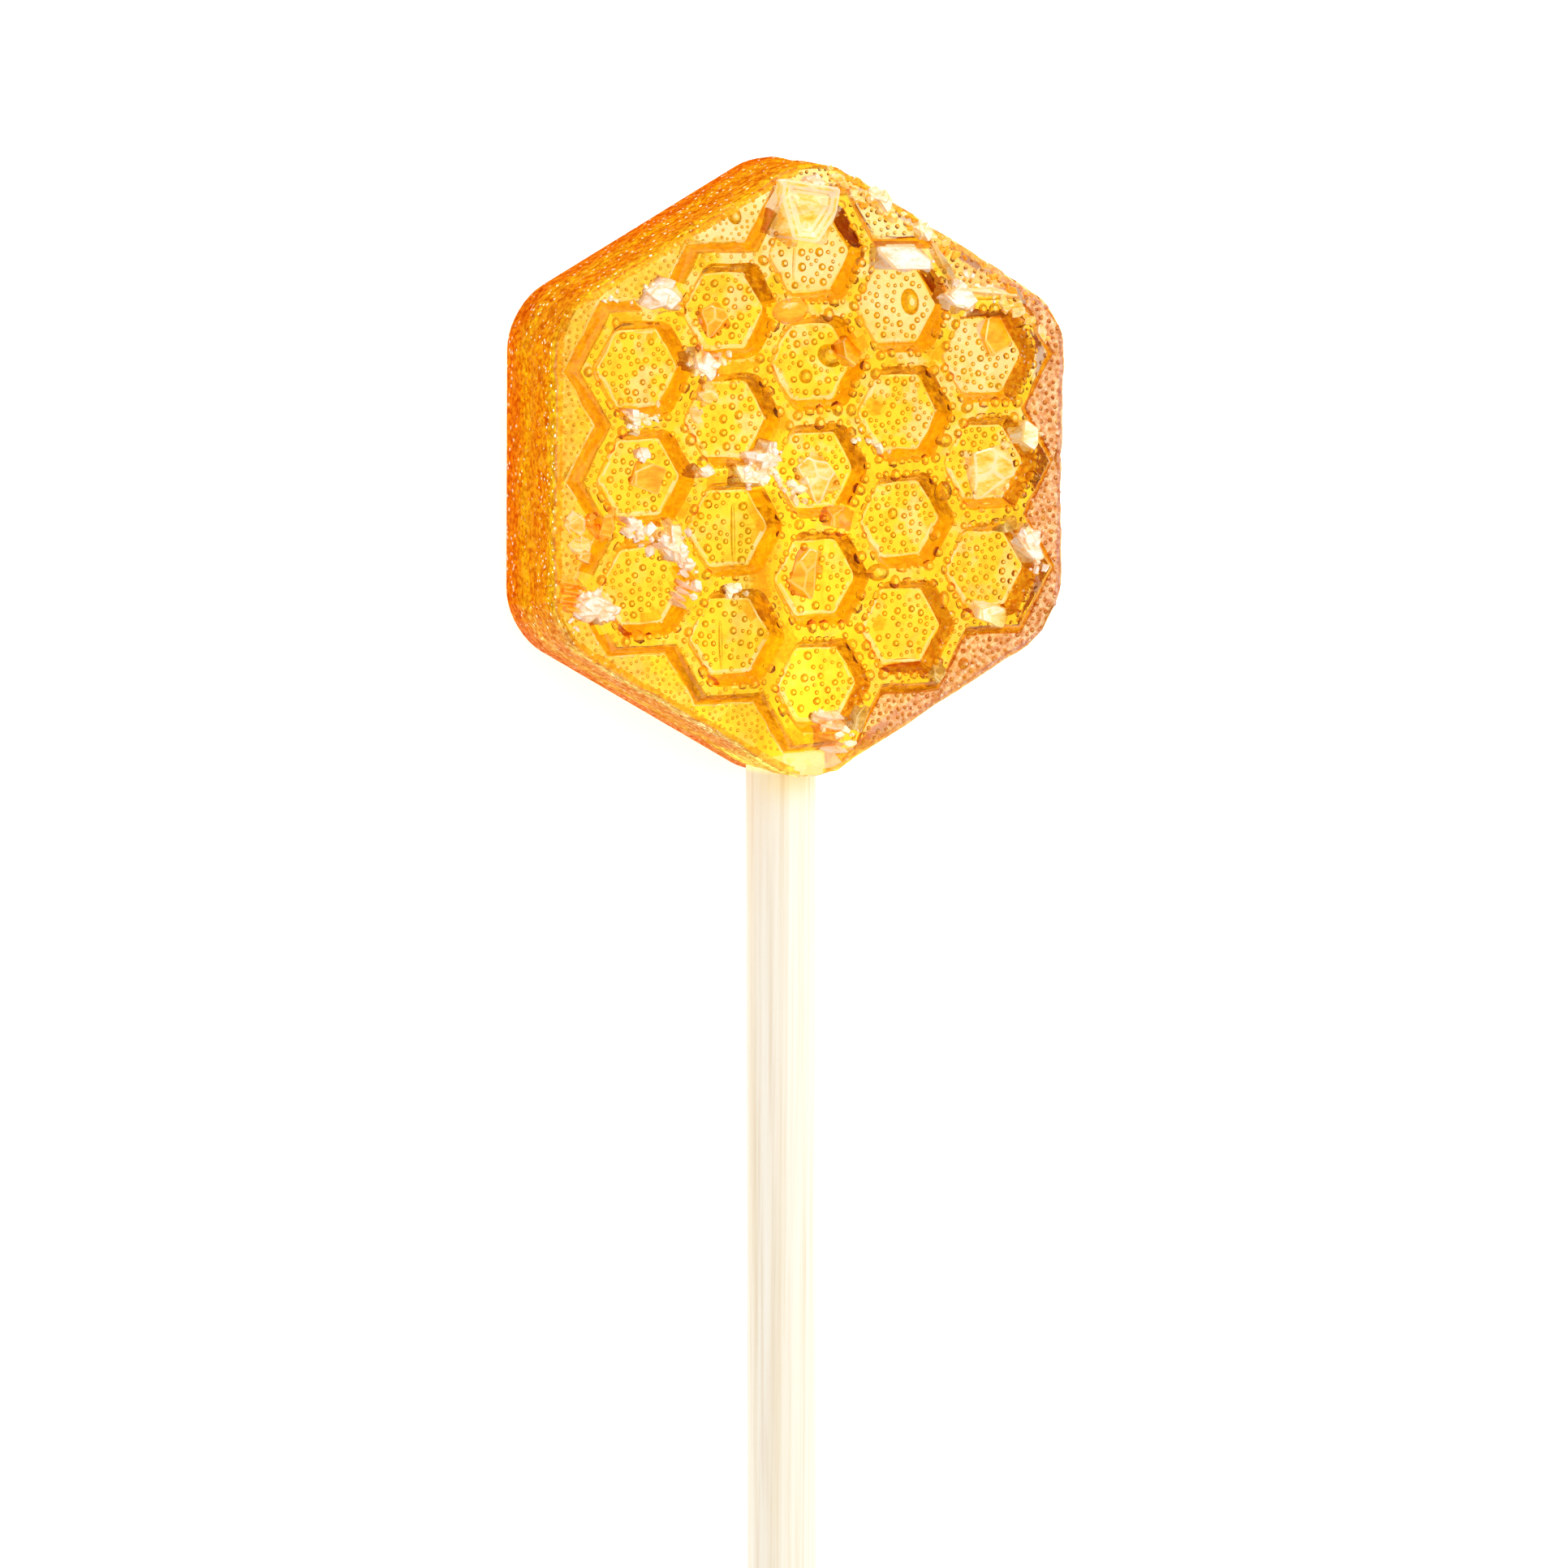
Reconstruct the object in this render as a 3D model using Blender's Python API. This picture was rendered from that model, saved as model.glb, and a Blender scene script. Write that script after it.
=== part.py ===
"""Honey lollipop: a hexagon of clear honey candy, cast on the end of a round wooden stick.

The candy lies on its flat back with its honeycomb face up. Metres, +Z up. The origin is the
middle of the flat back, +Y points to the candy's top corner and the stick runs out along -Y.
"""
import math
import random

import bmesh
import bpy
from mathutils import Matrix, Vector

MM = 0.001
SIXTH = math.radians(60)

# Candy plate
ACROSS_FLATS = 41.1 * MM       # side to side at the flat back
DEPTH = 9.5 * MM               # from the back to the face between the ribs
DRAFT = 0.46 * MM              # how far each side leans in towards the face
CORNER_RADIUS = 5.4 * MM
BACK_ROUND = 0.35 * MM
FACE_ROUND = 0.5 * MM
CORNER_STEPS = 6
ROUND_STEPS = 3

# Honeycomb net standing on the face
NET_CENTRE = Vector((-0.1 * MM, 0.2 * MM))
NET_TURN = math.radians(1.6)   # the net sits slightly turned in the mould
NET_COLUMNS = {-2: 3, -1: 4, 0: 5, 1: 4, 2: 3}
PITCH = 7.86 * MM              # from cell to cell
CELL_FLAT = 5.5 * MM           # a cell's floor, side to side
CELL_SINK = 0.15 * MM          # the floors lie this far below the face
RIB_HEIGHT = 1.2 * MM
RIB_SLOPE = 0.65 * MM          # how far a rib's side leans out from foot to top
RIB_STEPS = 4
NET_CORNER = 0.55 * MM
RIM_TRIM = 0.3 * MM            # the outermost rib is this much narrower than the others
NET_FOOT = 0.05 * MM           # the net's sides start this far under the face
NET_ROOT = 0.8 * MM            # and its root goes this deep into the plate
CUTTER_FLARE = 1.04            # a cell's opening goes on widening a little above the rib top

# Stick and the blind hole round it
STICK_DIAMETER = 5.2 * MM
STICK_LENGTH = 150.0 * MM
STICK_HEIGHT = 3.6 * MM        # its axis above the flat back
STICK_TOP = -1.5 * MM          # where it ends inside the candy
STICK_LEAN = math.radians(0.66)
LEAN_FROM = -23.0 * MM         # the stick leaves the candy here, on the centre line
STICK_BEVEL = 0.4 * MM
STICK_SIDES = 32
GAP = 0.3 * MM

# Candy chips caught in the ribs: kind, place across and up the face, length, width,
# how far it stands out of the rib top, turn in degrees. Millimetres.
CHIPS = (
    ("flake", -1.3, 18.9, 4.5, 4.2, 0.50, -8),
    ("lump", -0.5, 21.0, 1.3, 1.0, 0.35, 20),
    ("lump", 4.9, 19.8, 2.1, 1.1, 0.20, -28),
    ("lump", 8.3, 17.6, 1.8, 0.9, 0.05, -35),
    ("slab", 6.4, 15.6, 4.4, 1.7, 0.50, 0),
    ("needle", 10.1, 14.9, 4.6, 0.6, 0.45, -53),
    ("needle", 13.5, 13.1, 3.7, 0.8, 0.50, 3),
    ("lump", 11.0, 12.7, 2.3, 2.2, 0.60, 10),
    ("lump", -12.4, 12.7, 2.4, 2.3, 0.60, 35),
    ("lump", -9.0, 7.9, 2.5, 1.6, 0.55, -25),
    ("lens", -2.5, 11.8, 2.6, 1.7, 0.25, 10),
    ("lump", -14.5, 4.2, 1.2, 1.4, 0.45, 0),
    ("lump", -9.0, 0.3, 1.5, 1.0, 0.45, 15),
    ("slab", -5.8, 0.0, 2.0, 1.2, 0.40, -4),
    ("lump", -4.3, 0.9, 1.4, 3.6, 0.40, -20),
    ("slab", -14.4, -3.5, 1.8, 0.7, 0.50, -20),
    ("lump", -11.3, -4.9, 1.7, 3.2, 0.45, 25),
    ("bars", -10.4, -8.7, 1.5, 1.9, 0.55, -25),
    ("bars", -18.7, -8.6, 1.9, 2.6, 0.35, 4),
    ("lump", -17.3, -9.4, 2.4, 2.6, 0.60, 20),
    ("slab", 16.7, 2.6, 1.9, 1.6, 0.45, -32),
    ("lump", 17.0, -5.7, 1.6, 2.7, 0.55, 12),
    ("wedge", 14.0, -10.6, 2.8, 1.5, 0.45, -20),
    ("wedge", 15.3, -4.0, 1.6, 0.9, 0.35, 10),
    ("wedge", 9.7, -14.8, 1.4, 1.1, 0.35, 30),
    ("wedge", 3.5, -18.0, 1.3, 2.0, 0.35, -20),
    ("bars", 1.4, -19.1, 2.4, 3.2, 0.50, 2),
    ("wedge", 2.4, 8.9, 1.7, 1.8, 0.30, 40),
    ("wedge", 1.8, -3.3, 2.0, 1.6, 0.30, -15),
)
CHIP_ROOT = 0.7 * MM           # each chip reaches this far down into the candy
LUMP_SIDES = 7
LUMP_PROFILE = ((0.0, 1.0), (0.7, 0.9), (1.0, 0.55))   # share of the height, share of the width
LENS_PROFILE = ((0.0, 1.0), (0.85, 0.92), (1.0, 0.6))
LENS_SIDES = 12
BARS_IN_A_CHIP = 3

# Small bites out of the rim of the face: edge number from the top corner, counter-clockwise, and count
RIM_BITES = {5: 9, 4: 3, 3: 3, 2: 1}
BITE_SIZE = (0.5 * MM, 1.1 * MM)
BITE_OUT = 0.4                 # a bite's middle lies this share of its size outside the rim
BITE_REACH = (0.14, 0.86)      # the stretch of each edge that has bites
BITE_POINTS = 12
BITE_SEED = 11

CANDY_COLOUR = (0.95, 0.50, 0.03, 1.0)
WOOD_COLOUR = (0.87, 0.76, 0.58, 1.0)


def clear_scene():
    for thing in list(bpy.data.objects):
        bpy.data.objects.remove(thing, do_unlink=True)


def make_material(name, colour, roughness, transmission=0.0):
    material = bpy.data.materials.new(name)
    material.use_nodes = True
    shader = material.node_tree.nodes["Principled BSDF"]
    shader.inputs["Base Color"].default_value = colour
    shader.inputs["Roughness"].default_value = roughness
    shader.inputs["Metallic"].default_value = 0.0
    shader.inputs["Transmission Weight"].default_value = transmission
    return material


def place_mesh(name, mesh, material):
    thing = bpy.data.objects.new(name, mesh)
    bpy.context.scene.collection.objects.link(thing)
    mesh.materials.append(material)
    return thing


def hexagon(centre, across, turn):
    """Six corners, counter-clockwise; turn is the direction of the first corner."""
    reach = across / math.sqrt(3)
    return [centre + reach * Vector((math.cos(turn + k * SIXTH), math.sin(turn + k * SIXTH)))
            for k in range(6)]


def grown(outline, distance):
    """The outline with every side moved out by distance, corners kept sharp."""
    points = []
    for k, here in enumerate(outline):
        before, after = outline[k - 1], outline[(k + 1) % len(outline)]
        into, out = (here - before).normalized(), (after - here).normalized()
        normal_in, normal_out = Vector((into.y, -into.x)), Vector((out.y, -out.x))
        both = normal_in + normal_out
        points.append(here + both * (2 * distance / both.length_squared))
    return points


def rounded(outline, radius, steps):
    """The outline with each corner turned into an arc of steps + 1 points."""
    points = []
    for k, here in enumerate(outline):
        before, after = outline[k - 1], outline[(k + 1) % len(outline)]
        back, on = (before - here).normalized(), (after - here).normalized()
        half = back.angle(on) / 2
        centre = here + (back + on).normalized() * (radius / math.sin(half))
        start = here + back * (radius / math.tan(half)) - centre
        end = here + on * (radius / math.tan(half)) - centre
        sweep = start.angle_signed(end)
        for step in range(steps + 1):
            angle = -sweep * step / steps
            arm = Vector((start.x * math.cos(angle) - start.y * math.sin(angle),
                          start.x * math.sin(angle) + start.y * math.cos(angle)))
            points.append(centre + arm)
    return points


def stacked(name, rings, material):
    """A closed body from rings of equal point count, each an outline and its height."""
    shape = bmesh.new()
    loops = [[shape.verts.new((p.x, p.y, height)) for p in outline] for outline, height in rings]
    for low, high in zip(loops, loops[1:]):
        for k in range(len(low)):
            n = (k + 1) % len(low)
            shape.faces.new((low[k], low[n], high[n], high[k]))
    shape.faces.new(reversed(loops[0]))
    shape.faces.new(loops[-1])
    mesh = bpy.data.meshes.new(name)
    shape.to_mesh(mesh)
    shape.free()
    return place_mesh(name, mesh, material)


def candy_plate(material):
    """The plain cast hexagon: rounded back rim, leaning sides, rounded rim of the face."""
    profile = []
    for step in range(ROUND_STEPS + 1):
        angle = math.radians(90) * step / ROUND_STEPS
        profile.append((BACK_ROUND * (1 - math.sin(angle)), BACK_ROUND * (1 - math.cos(angle))))
    for step in range(ROUND_STEPS + 1):
        angle = math.radians(90) * step / ROUND_STEPS
        profile.append((DRAFT + FACE_ROUND * (1 - math.cos(angle)),
                        DEPTH - FACE_ROUND * (1 - math.sin(angle))))
    rings = []
    for inset, height in profile:
        corners = hexagon(Vector((0, 0)), ACROSS_FLATS - 2 * inset, math.radians(90))
        rings.append((rounded(corners, CORNER_RADIUS - inset, CORNER_STEPS), height))
    return stacked("candy_head", rings, material)


def cell_centres():
    turn = Matrix.Rotation(NET_TURN, 2)
    centres = []
    for column, count in NET_COLUMNS.items():
        for row in range(count):
            flat = Vector((column * PITCH * math.sqrt(3) / 2, ((count - 1) / 2 - row) * PITCH))
            centres.append(NET_CENTRE + turn @ flat)
    return centres


def net_outline(centres):
    """The zigzag round all the cells, halfway between each cell and where its neighbour would be."""
    ends = {}
    for centre in centres:
        corners = hexagon(centre, PITCH, NET_TURN)
        for k in range(6):
            a, b = corners[k], corners[(k + 1) % 6]
            neighbour = a + b - centre
            if not any((neighbour - other).length < PITCH / 4 for other in centres):
                ends[tuple(round(v / MM, 2) for v in a)] = (a, b)
    key = next(iter(ends))
    outline = []
    while key in ends:
        a, b = ends.pop(key)
        outline.append(a)
        key = tuple(round(v / MM, 2) for v in b)
    return outline


def rib_side():
    """Points of a rib's side as (share of the slope, share of the height), foot to top."""
    for step in range(RIB_STEPS + 1):
        t = step / RIB_STEPS
        yield t, 0.5 * t + 0.5 * t * t * (3 - 2 * t)


def honeycomb_pad(centres, material):
    border = net_outline(centres)
    foot = (PITCH - CELL_FLAT) / 2 - RIM_TRIM
    rings = [(rounded(grown(border, foot), NET_CORNER, 2), DEPTH - NET_ROOT)]
    for lean, rise in rib_side():
        outline = rounded(grown(border, foot - lean * RIB_SLOPE), NET_CORNER, 2)
        rings.append((outline, DEPTH - NET_FOOT + rise * (RIB_HEIGHT + NET_FOOT)))
    return stacked("net", rings, material)


def cell_cutter(centre, material):
    rings = []
    for lean, rise in rib_side():
        corners = hexagon(centre, CELL_FLAT + 2 * lean * RIB_SLOPE, NET_TURN)
        rings.append((rounded(corners, NET_CORNER, 2),
                      DEPTH - CELL_SINK + rise * (RIB_HEIGHT + CELL_SINK - NET_FOOT)))
    outline, height = rings[-1]
    rings.append(([centre + (p - centre) * CUTTER_FLARE for p in outline], height + RIB_HEIGHT))
    return stacked("cell", rings, material)


def hull_body(name, points, material):
    shape = bmesh.new()
    for p in points:
        shape.verts.new(p)
    hull = bmesh.ops.convex_hull(shape, input=shape.verts)
    loose = [v for v in hull["geom_interior"] if isinstance(v, bmesh.types.BMVert)]
    bmesh.ops.delete(shape, geom=loose, context="VERTS")
    bmesh.ops.recalc_face_normals(shape, faces=shape.faces)
    mesh = bpy.data.meshes.new(name)
    shape.to_mesh(mesh)
    shape.free()
    return place_mesh(name, mesh, material)


def box_points(length, width, low, high, taper):
    """Corners of a block whose top is smaller than its foot by taper."""
    half_l, half_w = length / 2, width / 2
    foot = [(sx * half_l, sy * half_w, low) for sx in (-1, 1) for sy in (-1, 1)]
    top = [(sx * half_l * (1 - taper), sy * half_w * (1 - taper), high) for sx in (-1, 1) for sy in (-1, 1)]
    return foot + top


def lump_points(length, width, low, high, draw):
    """Rings of jittered points, widest at the foot."""
    points = []
    for share, size in LUMP_PROFILE:
        for k in range(LUMP_SIDES):
            angle = 2 * math.pi * (k + draw.uniform(-0.25, 0.25)) / LUMP_SIDES
            reach = size * draw.uniform(0.82, 1.0)
            points.append((length / 2 * reach * math.cos(angle), width / 2 * reach * math.sin(angle),
                           low + share * (high - low)))
    return points


def chip_points(kind, length, width, low, high, draw):
    """Point clouds whose hulls, taken one by one, make up a chip."""
    if kind == "slab":
        return [box_points(length, width, low, high, 0.12)]
    if kind == "wedge":
        points = box_points(length, width, low, high, 0.2)
        return [[(x, y, z if y > 0 else min(z, (low + high) / 2)) for x, y, z in points]]
    if kind == "needle":
        ends = [(-length / 2, 0, high - width / 2), (length / 2, 0, high - width / 2)]
        return [ends + [(x * 0.9, y, z) for x, y, z in box_points(length, width, low, high, 0.35)]]
    if kind == "lens":
        step = 2 * math.pi / LENS_SIDES
        return [[(length / 2 * size * math.cos(k * step), width / 2 * size * math.sin(k * step),
                  low + share * (high - low)) for share, size in LENS_PROFILE for k in range(LENS_SIDES)]]
    if kind == "bars":
        each = length / BARS_IN_A_CHIP
        return [[(y + (k - 1) * each * 0.92, x, z) for x, y, z in
                 box_points(width * (1 - 0.1 * k), each, low, high, 0.3)] for k in range(BARS_IN_A_CHIP)]
    if kind == "flake":
        top = [(-length / 2, width / 2), (length / 2, width * 0.36), (length * 0.24, -width / 2),
               (-length * 0.02, -width * 0.45)]
        return [[(x * size, y * size, z) for size, z in ((1.0, low), (1.0, (low + 3 * high) / 4), (0.9, high))
                 for x, y in top]]
    return [lump_points(length, width, low, high, draw)]


def make_chips(material):
    bodies = []
    top = DEPTH + RIB_HEIGHT
    for number, (kind, across, up, length, width, proud, turn) in enumerate(CHIPS):
        draw = random.Random(number)
        place = Matrix.Translation((across * MM, up * MM, 0)) @ Matrix.Rotation(math.radians(turn), 4, "Z")
        clouds = chip_points(kind, length * MM, width * MM, top - RIB_HEIGHT - CHIP_ROOT, top + proud * MM, draw)
        for cloud in clouds:
            bodies.append(hull_body("chip", [place @ Vector(p) for p in cloud], material))
    return bodies


def rim_bites(material):
    """Small lumps along the rim of the face, to be cut away from it."""
    draw = random.Random(BITE_SEED)
    corners = hexagon(Vector((0, 0)), ACROSS_FLATS - 2 * DRAFT, math.radians(90))
    bodies = []
    for edge, count in RIM_BITES.items():
        a, b = corners[edge], corners[(edge + 1) % 6]
        outward = (a + b).normalized()
        for k in range(count):
            first, last = BITE_REACH
            share = first + (last - first) * (k + draw.uniform(0.1, 0.9)) / count
            size = draw.uniform(*BITE_SIZE)
            middle = a.lerp(b, share) + outward * size * BITE_OUT
            points = []
            for _ in range(BITE_POINTS):
                arm = Vector((draw.gauss(0, 1), draw.gauss(0, 1), draw.gauss(0, 1))).normalized()
                points.append(Vector((middle.x, middle.y, DEPTH)) + arm * size * draw.uniform(0.8, 1.1))
            bodies.append(hull_body("bite", points, material))
    return bodies


def combine(target, operation, tools):
    """Boolean the tools into the target, apply it and take the tools away."""
    group = bpy.data.collections.new("tools")
    for tool in tools:
        group.objects.link(tool)
    modifier = target.modifiers.new(operation.lower(), "BOOLEAN")
    modifier.operation = operation
    modifier.operand_type = "COLLECTION"
    modifier.collection = group
    modifier.solver = "EXACT"
    bpy.context.view_layer.objects.active = target
    bpy.ops.object.modifier_apply(modifier=modifier.name)
    for tool in tools:
        bpy.data.objects.remove(tool, do_unlink=True)
    bpy.data.collections.remove(group)


def stick_place(length):
    """Middle and turn of a rod that starts at the stick's top end and runs out along the stick."""
    direction = Vector((math.sin(STICK_LEAN), -math.cos(STICK_LEAN), 0))
    top = Vector((0, LEAN_FROM, STICK_HEIGHT)) - direction * (STICK_TOP - LEAN_FROM)
    return top + direction * (length / 2), (math.radians(90), 0, STICK_LEAN)


def rod(name, radius, length, material):
    middle, turn = stick_place(length)
    bpy.ops.mesh.primitive_cylinder_add(vertices=STICK_SIDES, radius=radius, depth=length,
                                        location=middle, rotation=turn)
    thing = bpy.context.object
    thing.name = name
    thing.data.name = name
    thing.data.materials.append(material)
    return thing


def socket_cutter(material):
    """The blind hole: the stick's own rod, a gap wider all round and a gap longer at its top end."""
    length = -STICK_TOP + ACROSS_FLATS
    cutter = rod("socket", (STICK_DIAMETER / 2 + GAP) / math.cos(math.pi / STICK_SIDES), length, material)
    cutter.location.y += GAP
    return cutter


def candy_head(material):
    centres = cell_centres()
    head = candy_plate(material)
    combine(head, "UNION", [honeycomb_pad(centres, material)])
    combine(head, "DIFFERENCE", [cell_cutter(centre, material) for centre in centres])
    combine(head, "DIFFERENCE", rim_bites(material))
    combine(head, "UNION", make_chips(material))
    combine(head, "DIFFERENCE", [socket_cutter(material)])
    head.data.shade_smooth()
    head.data.set_sharp_from_angle(angle=math.radians(32))
    return head


def wooden_stick(material):
    stick = rod("stick", STICK_DIAMETER / 2, STICK_LENGTH, material)
    bevel = stick.modifiers.new("end bevel", "BEVEL")
    bevel.width = STICK_BEVEL
    bevel.segments = 2
    bevel.limit_method = "ANGLE"
    bevel.angle_limit = math.radians(50)
    stick.data.shade_smooth()
    stick.data.set_sharp_from_angle(angle=math.radians(40))
    return stick


def main():
    clear_scene()
    candy_head(make_material("honey candy", CANDY_COLOUR, 0.08, 0.9))
    wooden_stick(make_material("pale wood", WOOD_COLOUR, 0.6))


main()
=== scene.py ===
"""Honey lollipop: clear golden hard candy with a raised honeycomb, cast on a round wooden stick.

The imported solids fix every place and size. Each operator below models one piece of the lollipop, or
the stage, and main() runs them in order. Metres, +Z up; the candy lies on its flat back.
"""
import math
import random
from functools import cached_property

import bmesh
import bpy
import numpy as np
from bpy.props import FloatProperty, FloatVectorProperty, IntProperty, PointerProperty
from bpy.types import Operator, Panel, PropertyGroup
from mathutils import Matrix, Vector
from mathutils.bvhtree import BVHTree


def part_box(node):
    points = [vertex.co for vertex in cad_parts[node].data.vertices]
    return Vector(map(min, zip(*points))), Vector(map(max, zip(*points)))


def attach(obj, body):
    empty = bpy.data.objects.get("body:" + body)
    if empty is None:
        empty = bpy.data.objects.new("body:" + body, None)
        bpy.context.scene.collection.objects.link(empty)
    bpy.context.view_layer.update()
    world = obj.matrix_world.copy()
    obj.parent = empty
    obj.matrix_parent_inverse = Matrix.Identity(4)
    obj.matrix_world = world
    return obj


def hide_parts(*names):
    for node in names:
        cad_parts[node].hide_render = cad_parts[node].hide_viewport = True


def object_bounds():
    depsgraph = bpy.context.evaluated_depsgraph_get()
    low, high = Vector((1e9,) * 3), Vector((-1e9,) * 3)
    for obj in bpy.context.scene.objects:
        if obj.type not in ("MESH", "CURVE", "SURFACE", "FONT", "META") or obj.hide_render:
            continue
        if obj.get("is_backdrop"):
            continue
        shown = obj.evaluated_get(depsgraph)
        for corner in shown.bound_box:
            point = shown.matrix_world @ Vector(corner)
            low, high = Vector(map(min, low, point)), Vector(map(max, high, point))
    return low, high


bl_info = {
    "name": "Honey lollipop",
    "version": (1, 0, 0),
    "blender": (4, 5, 0),
    "location": "3D View > Sidebar > Lollipop",
    "description": "Models a honeycomb lollipop of clear candy round its packed solids",
    "category": "Object",
}

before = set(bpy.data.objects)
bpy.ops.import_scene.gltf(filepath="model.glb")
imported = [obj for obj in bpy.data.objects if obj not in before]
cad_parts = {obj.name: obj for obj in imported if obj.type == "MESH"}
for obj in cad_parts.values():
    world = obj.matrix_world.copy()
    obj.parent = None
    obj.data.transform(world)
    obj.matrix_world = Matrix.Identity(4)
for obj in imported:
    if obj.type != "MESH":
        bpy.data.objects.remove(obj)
CAD_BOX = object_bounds()
HEAD_LOW, HEAD_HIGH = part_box("candy_head")

MM = 0.001
SIXTH = math.radians(60)
ABOVE_BACK = "above the back"

# Net of cells
NET_COLUMNS = {-2: 3, -1: 4, 0: 5, 1: 4, 2: 3}
NET_CENTRE = Vector((-0.1 * MM, 0.2 * MM))
NET_TURN = math.radians(1.6)

# Chips caught in the ribs: finish, kind, place across and up the face, length, width,
# how far it stands out of the rib top, turn in degrees. Millimetres.
CHIPS = (
    ("golden", "flake", -1.3, 18.9, 4.5, 4.2, 0.50, -8),
    ("white", "lump", -0.5, 21.0, 1.3, 1.0, 0.35, 20),
    ("clear", "lump", 4.9, 19.8, 2.1, 1.1, 0.20, -28),
    ("clear", "lump", 8.3, 17.6, 1.8, 0.9, 0.05, -35),
    ("white", "slab", 6.4, 15.6, 4.4, 1.7, 0.50, 0),
    ("clear", "needle", 10.1, 14.9, 4.6, 0.6, 0.45, -53),
    ("clear", "needle", 13.5, 13.1, 3.7, 0.8, 0.50, 3),
    ("white", "lump", 11.0, 12.7, 2.3, 2.2, 0.60, 10),
    ("white", "lump", -12.4, 12.7, 2.4, 2.3, 0.60, 35),
    ("white", "lump", -9.0, 7.9, 2.5, 1.6, 0.55, -25),
    ("amber", "lens", -2.5, 11.8, 2.6, 1.7, 0.25, 10),
    ("white", "lump", -14.5, 4.2, 1.2, 1.4, 0.45, 0),
    ("white", "lump", -9.0, 0.3, 1.5, 1.0, 0.45, 15),
    ("clear", "slab", -5.8, 0.0, 2.0, 1.2, 0.40, -4),
    ("white", "lump", -4.3, 0.9, 1.4, 3.6, 0.40, -20),
    ("white", "slab", -14.4, -3.5, 1.8, 0.7, 0.50, -20),
    ("white", "lump", -11.3, -4.9, 1.7, 3.2, 0.45, 25),
    ("white", "bars", -10.4, -8.7, 1.5, 1.9, 0.55, -25),
    ("amber", "bars", -18.7, -8.6, 1.9, 2.6, 0.35, 4),
    ("white", "lump", -17.3, -9.4, 2.4, 2.6, 0.60, 20),
    ("clear", "slab", 16.7, 2.6, 1.9, 1.6, 0.45, -32),
    ("white", "lump", 17.0, -5.7, 1.6, 2.7, 0.55, 12),
    ("clear", "wedge", 14.0, -10.6, 2.8, 1.5, 0.45, -20),
    ("smoky", "wedge", 15.3, -4.0, 1.6, 0.9, 0.35, 10),
    ("smoky", "wedge", 9.7, -14.8, 1.4, 1.1, 0.35, 30),
    ("smoky", "wedge", 3.5, -18.0, 1.3, 2.0, 0.35, -20),
    ("white", "bars", 1.4, -19.1, 2.4, 3.2, 0.50, 2),
    ("amber", "wedge", 2.4, 8.9, 1.7, 1.8, 0.30, 40),
    ("amber", "wedge", 1.8, -3.3, 2.0, 1.6, 0.30, -15),
)

# Blisters wider than the usual bubbles: place across and up the face, length, width, turn in degrees.
# Millimetres.
BLISTERS = (
    (7.5, 12.4, 1.45, 2.0, 12),
    (1.2, 8.5, 2.1, 1.7, -20),
    (-0.7, 7.0, 1.1, 1.1, 0),
    (6.3, -3.1, 0.8, 0.9, 0),
    (-15.8, -9.0, 0.8, 0.8, 0),
    (9.7, -1.6, 1.2, 1.7, 0),
    (9.6, -4.6, 1.05, 1.45, 0),
    (9.9, -9.4, 0.9, 1.3, 0),
    (9.7, -12.7, 0.9, 1.45, 0),
    (9.8, 2.3, 1.3, 1.05, 0),
    (4.6, -7.3, 1.8, 1.3, 0),
    (13.6, -2.4, 1.05, 0.4, 0),
    (7.3, -14.0, 2.1, 0.4, 0),
    (-8.0, 14.9, 2.0, 0.65, 0),
    (-4.9, 8.4, 0.8, 0.8, 0),
    (-18.1, 7.5, 0.8, 0.8, 0),
    (-6.5, 18.6, 1.05, 1.3, 25),
    (12.1, -14.3, 0.9, 0.9, 0),
    (-6.35, -4.2, 4.8, 0.36, 91),
    (-7.25, -12.3, 3.8, 0.32, 92),
    (-1.75, 15.6, 3.2, 0.2, 88),
    (-0.2, 16.9, 2.4, 0.18, 20),
)

# Bites out of the rim of the face: edge counter-clockwise from the upper left one, how many tries, widest.
# Millimetres.
RIM_BITES = (
    (0, 26, 0.9),
    (1, 34, 0.8),
    (2, 10, 0.6),
    (3, 12, 0.7),
    (4, 22, 0.9),
    (5, 46, 1.3),
)

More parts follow.
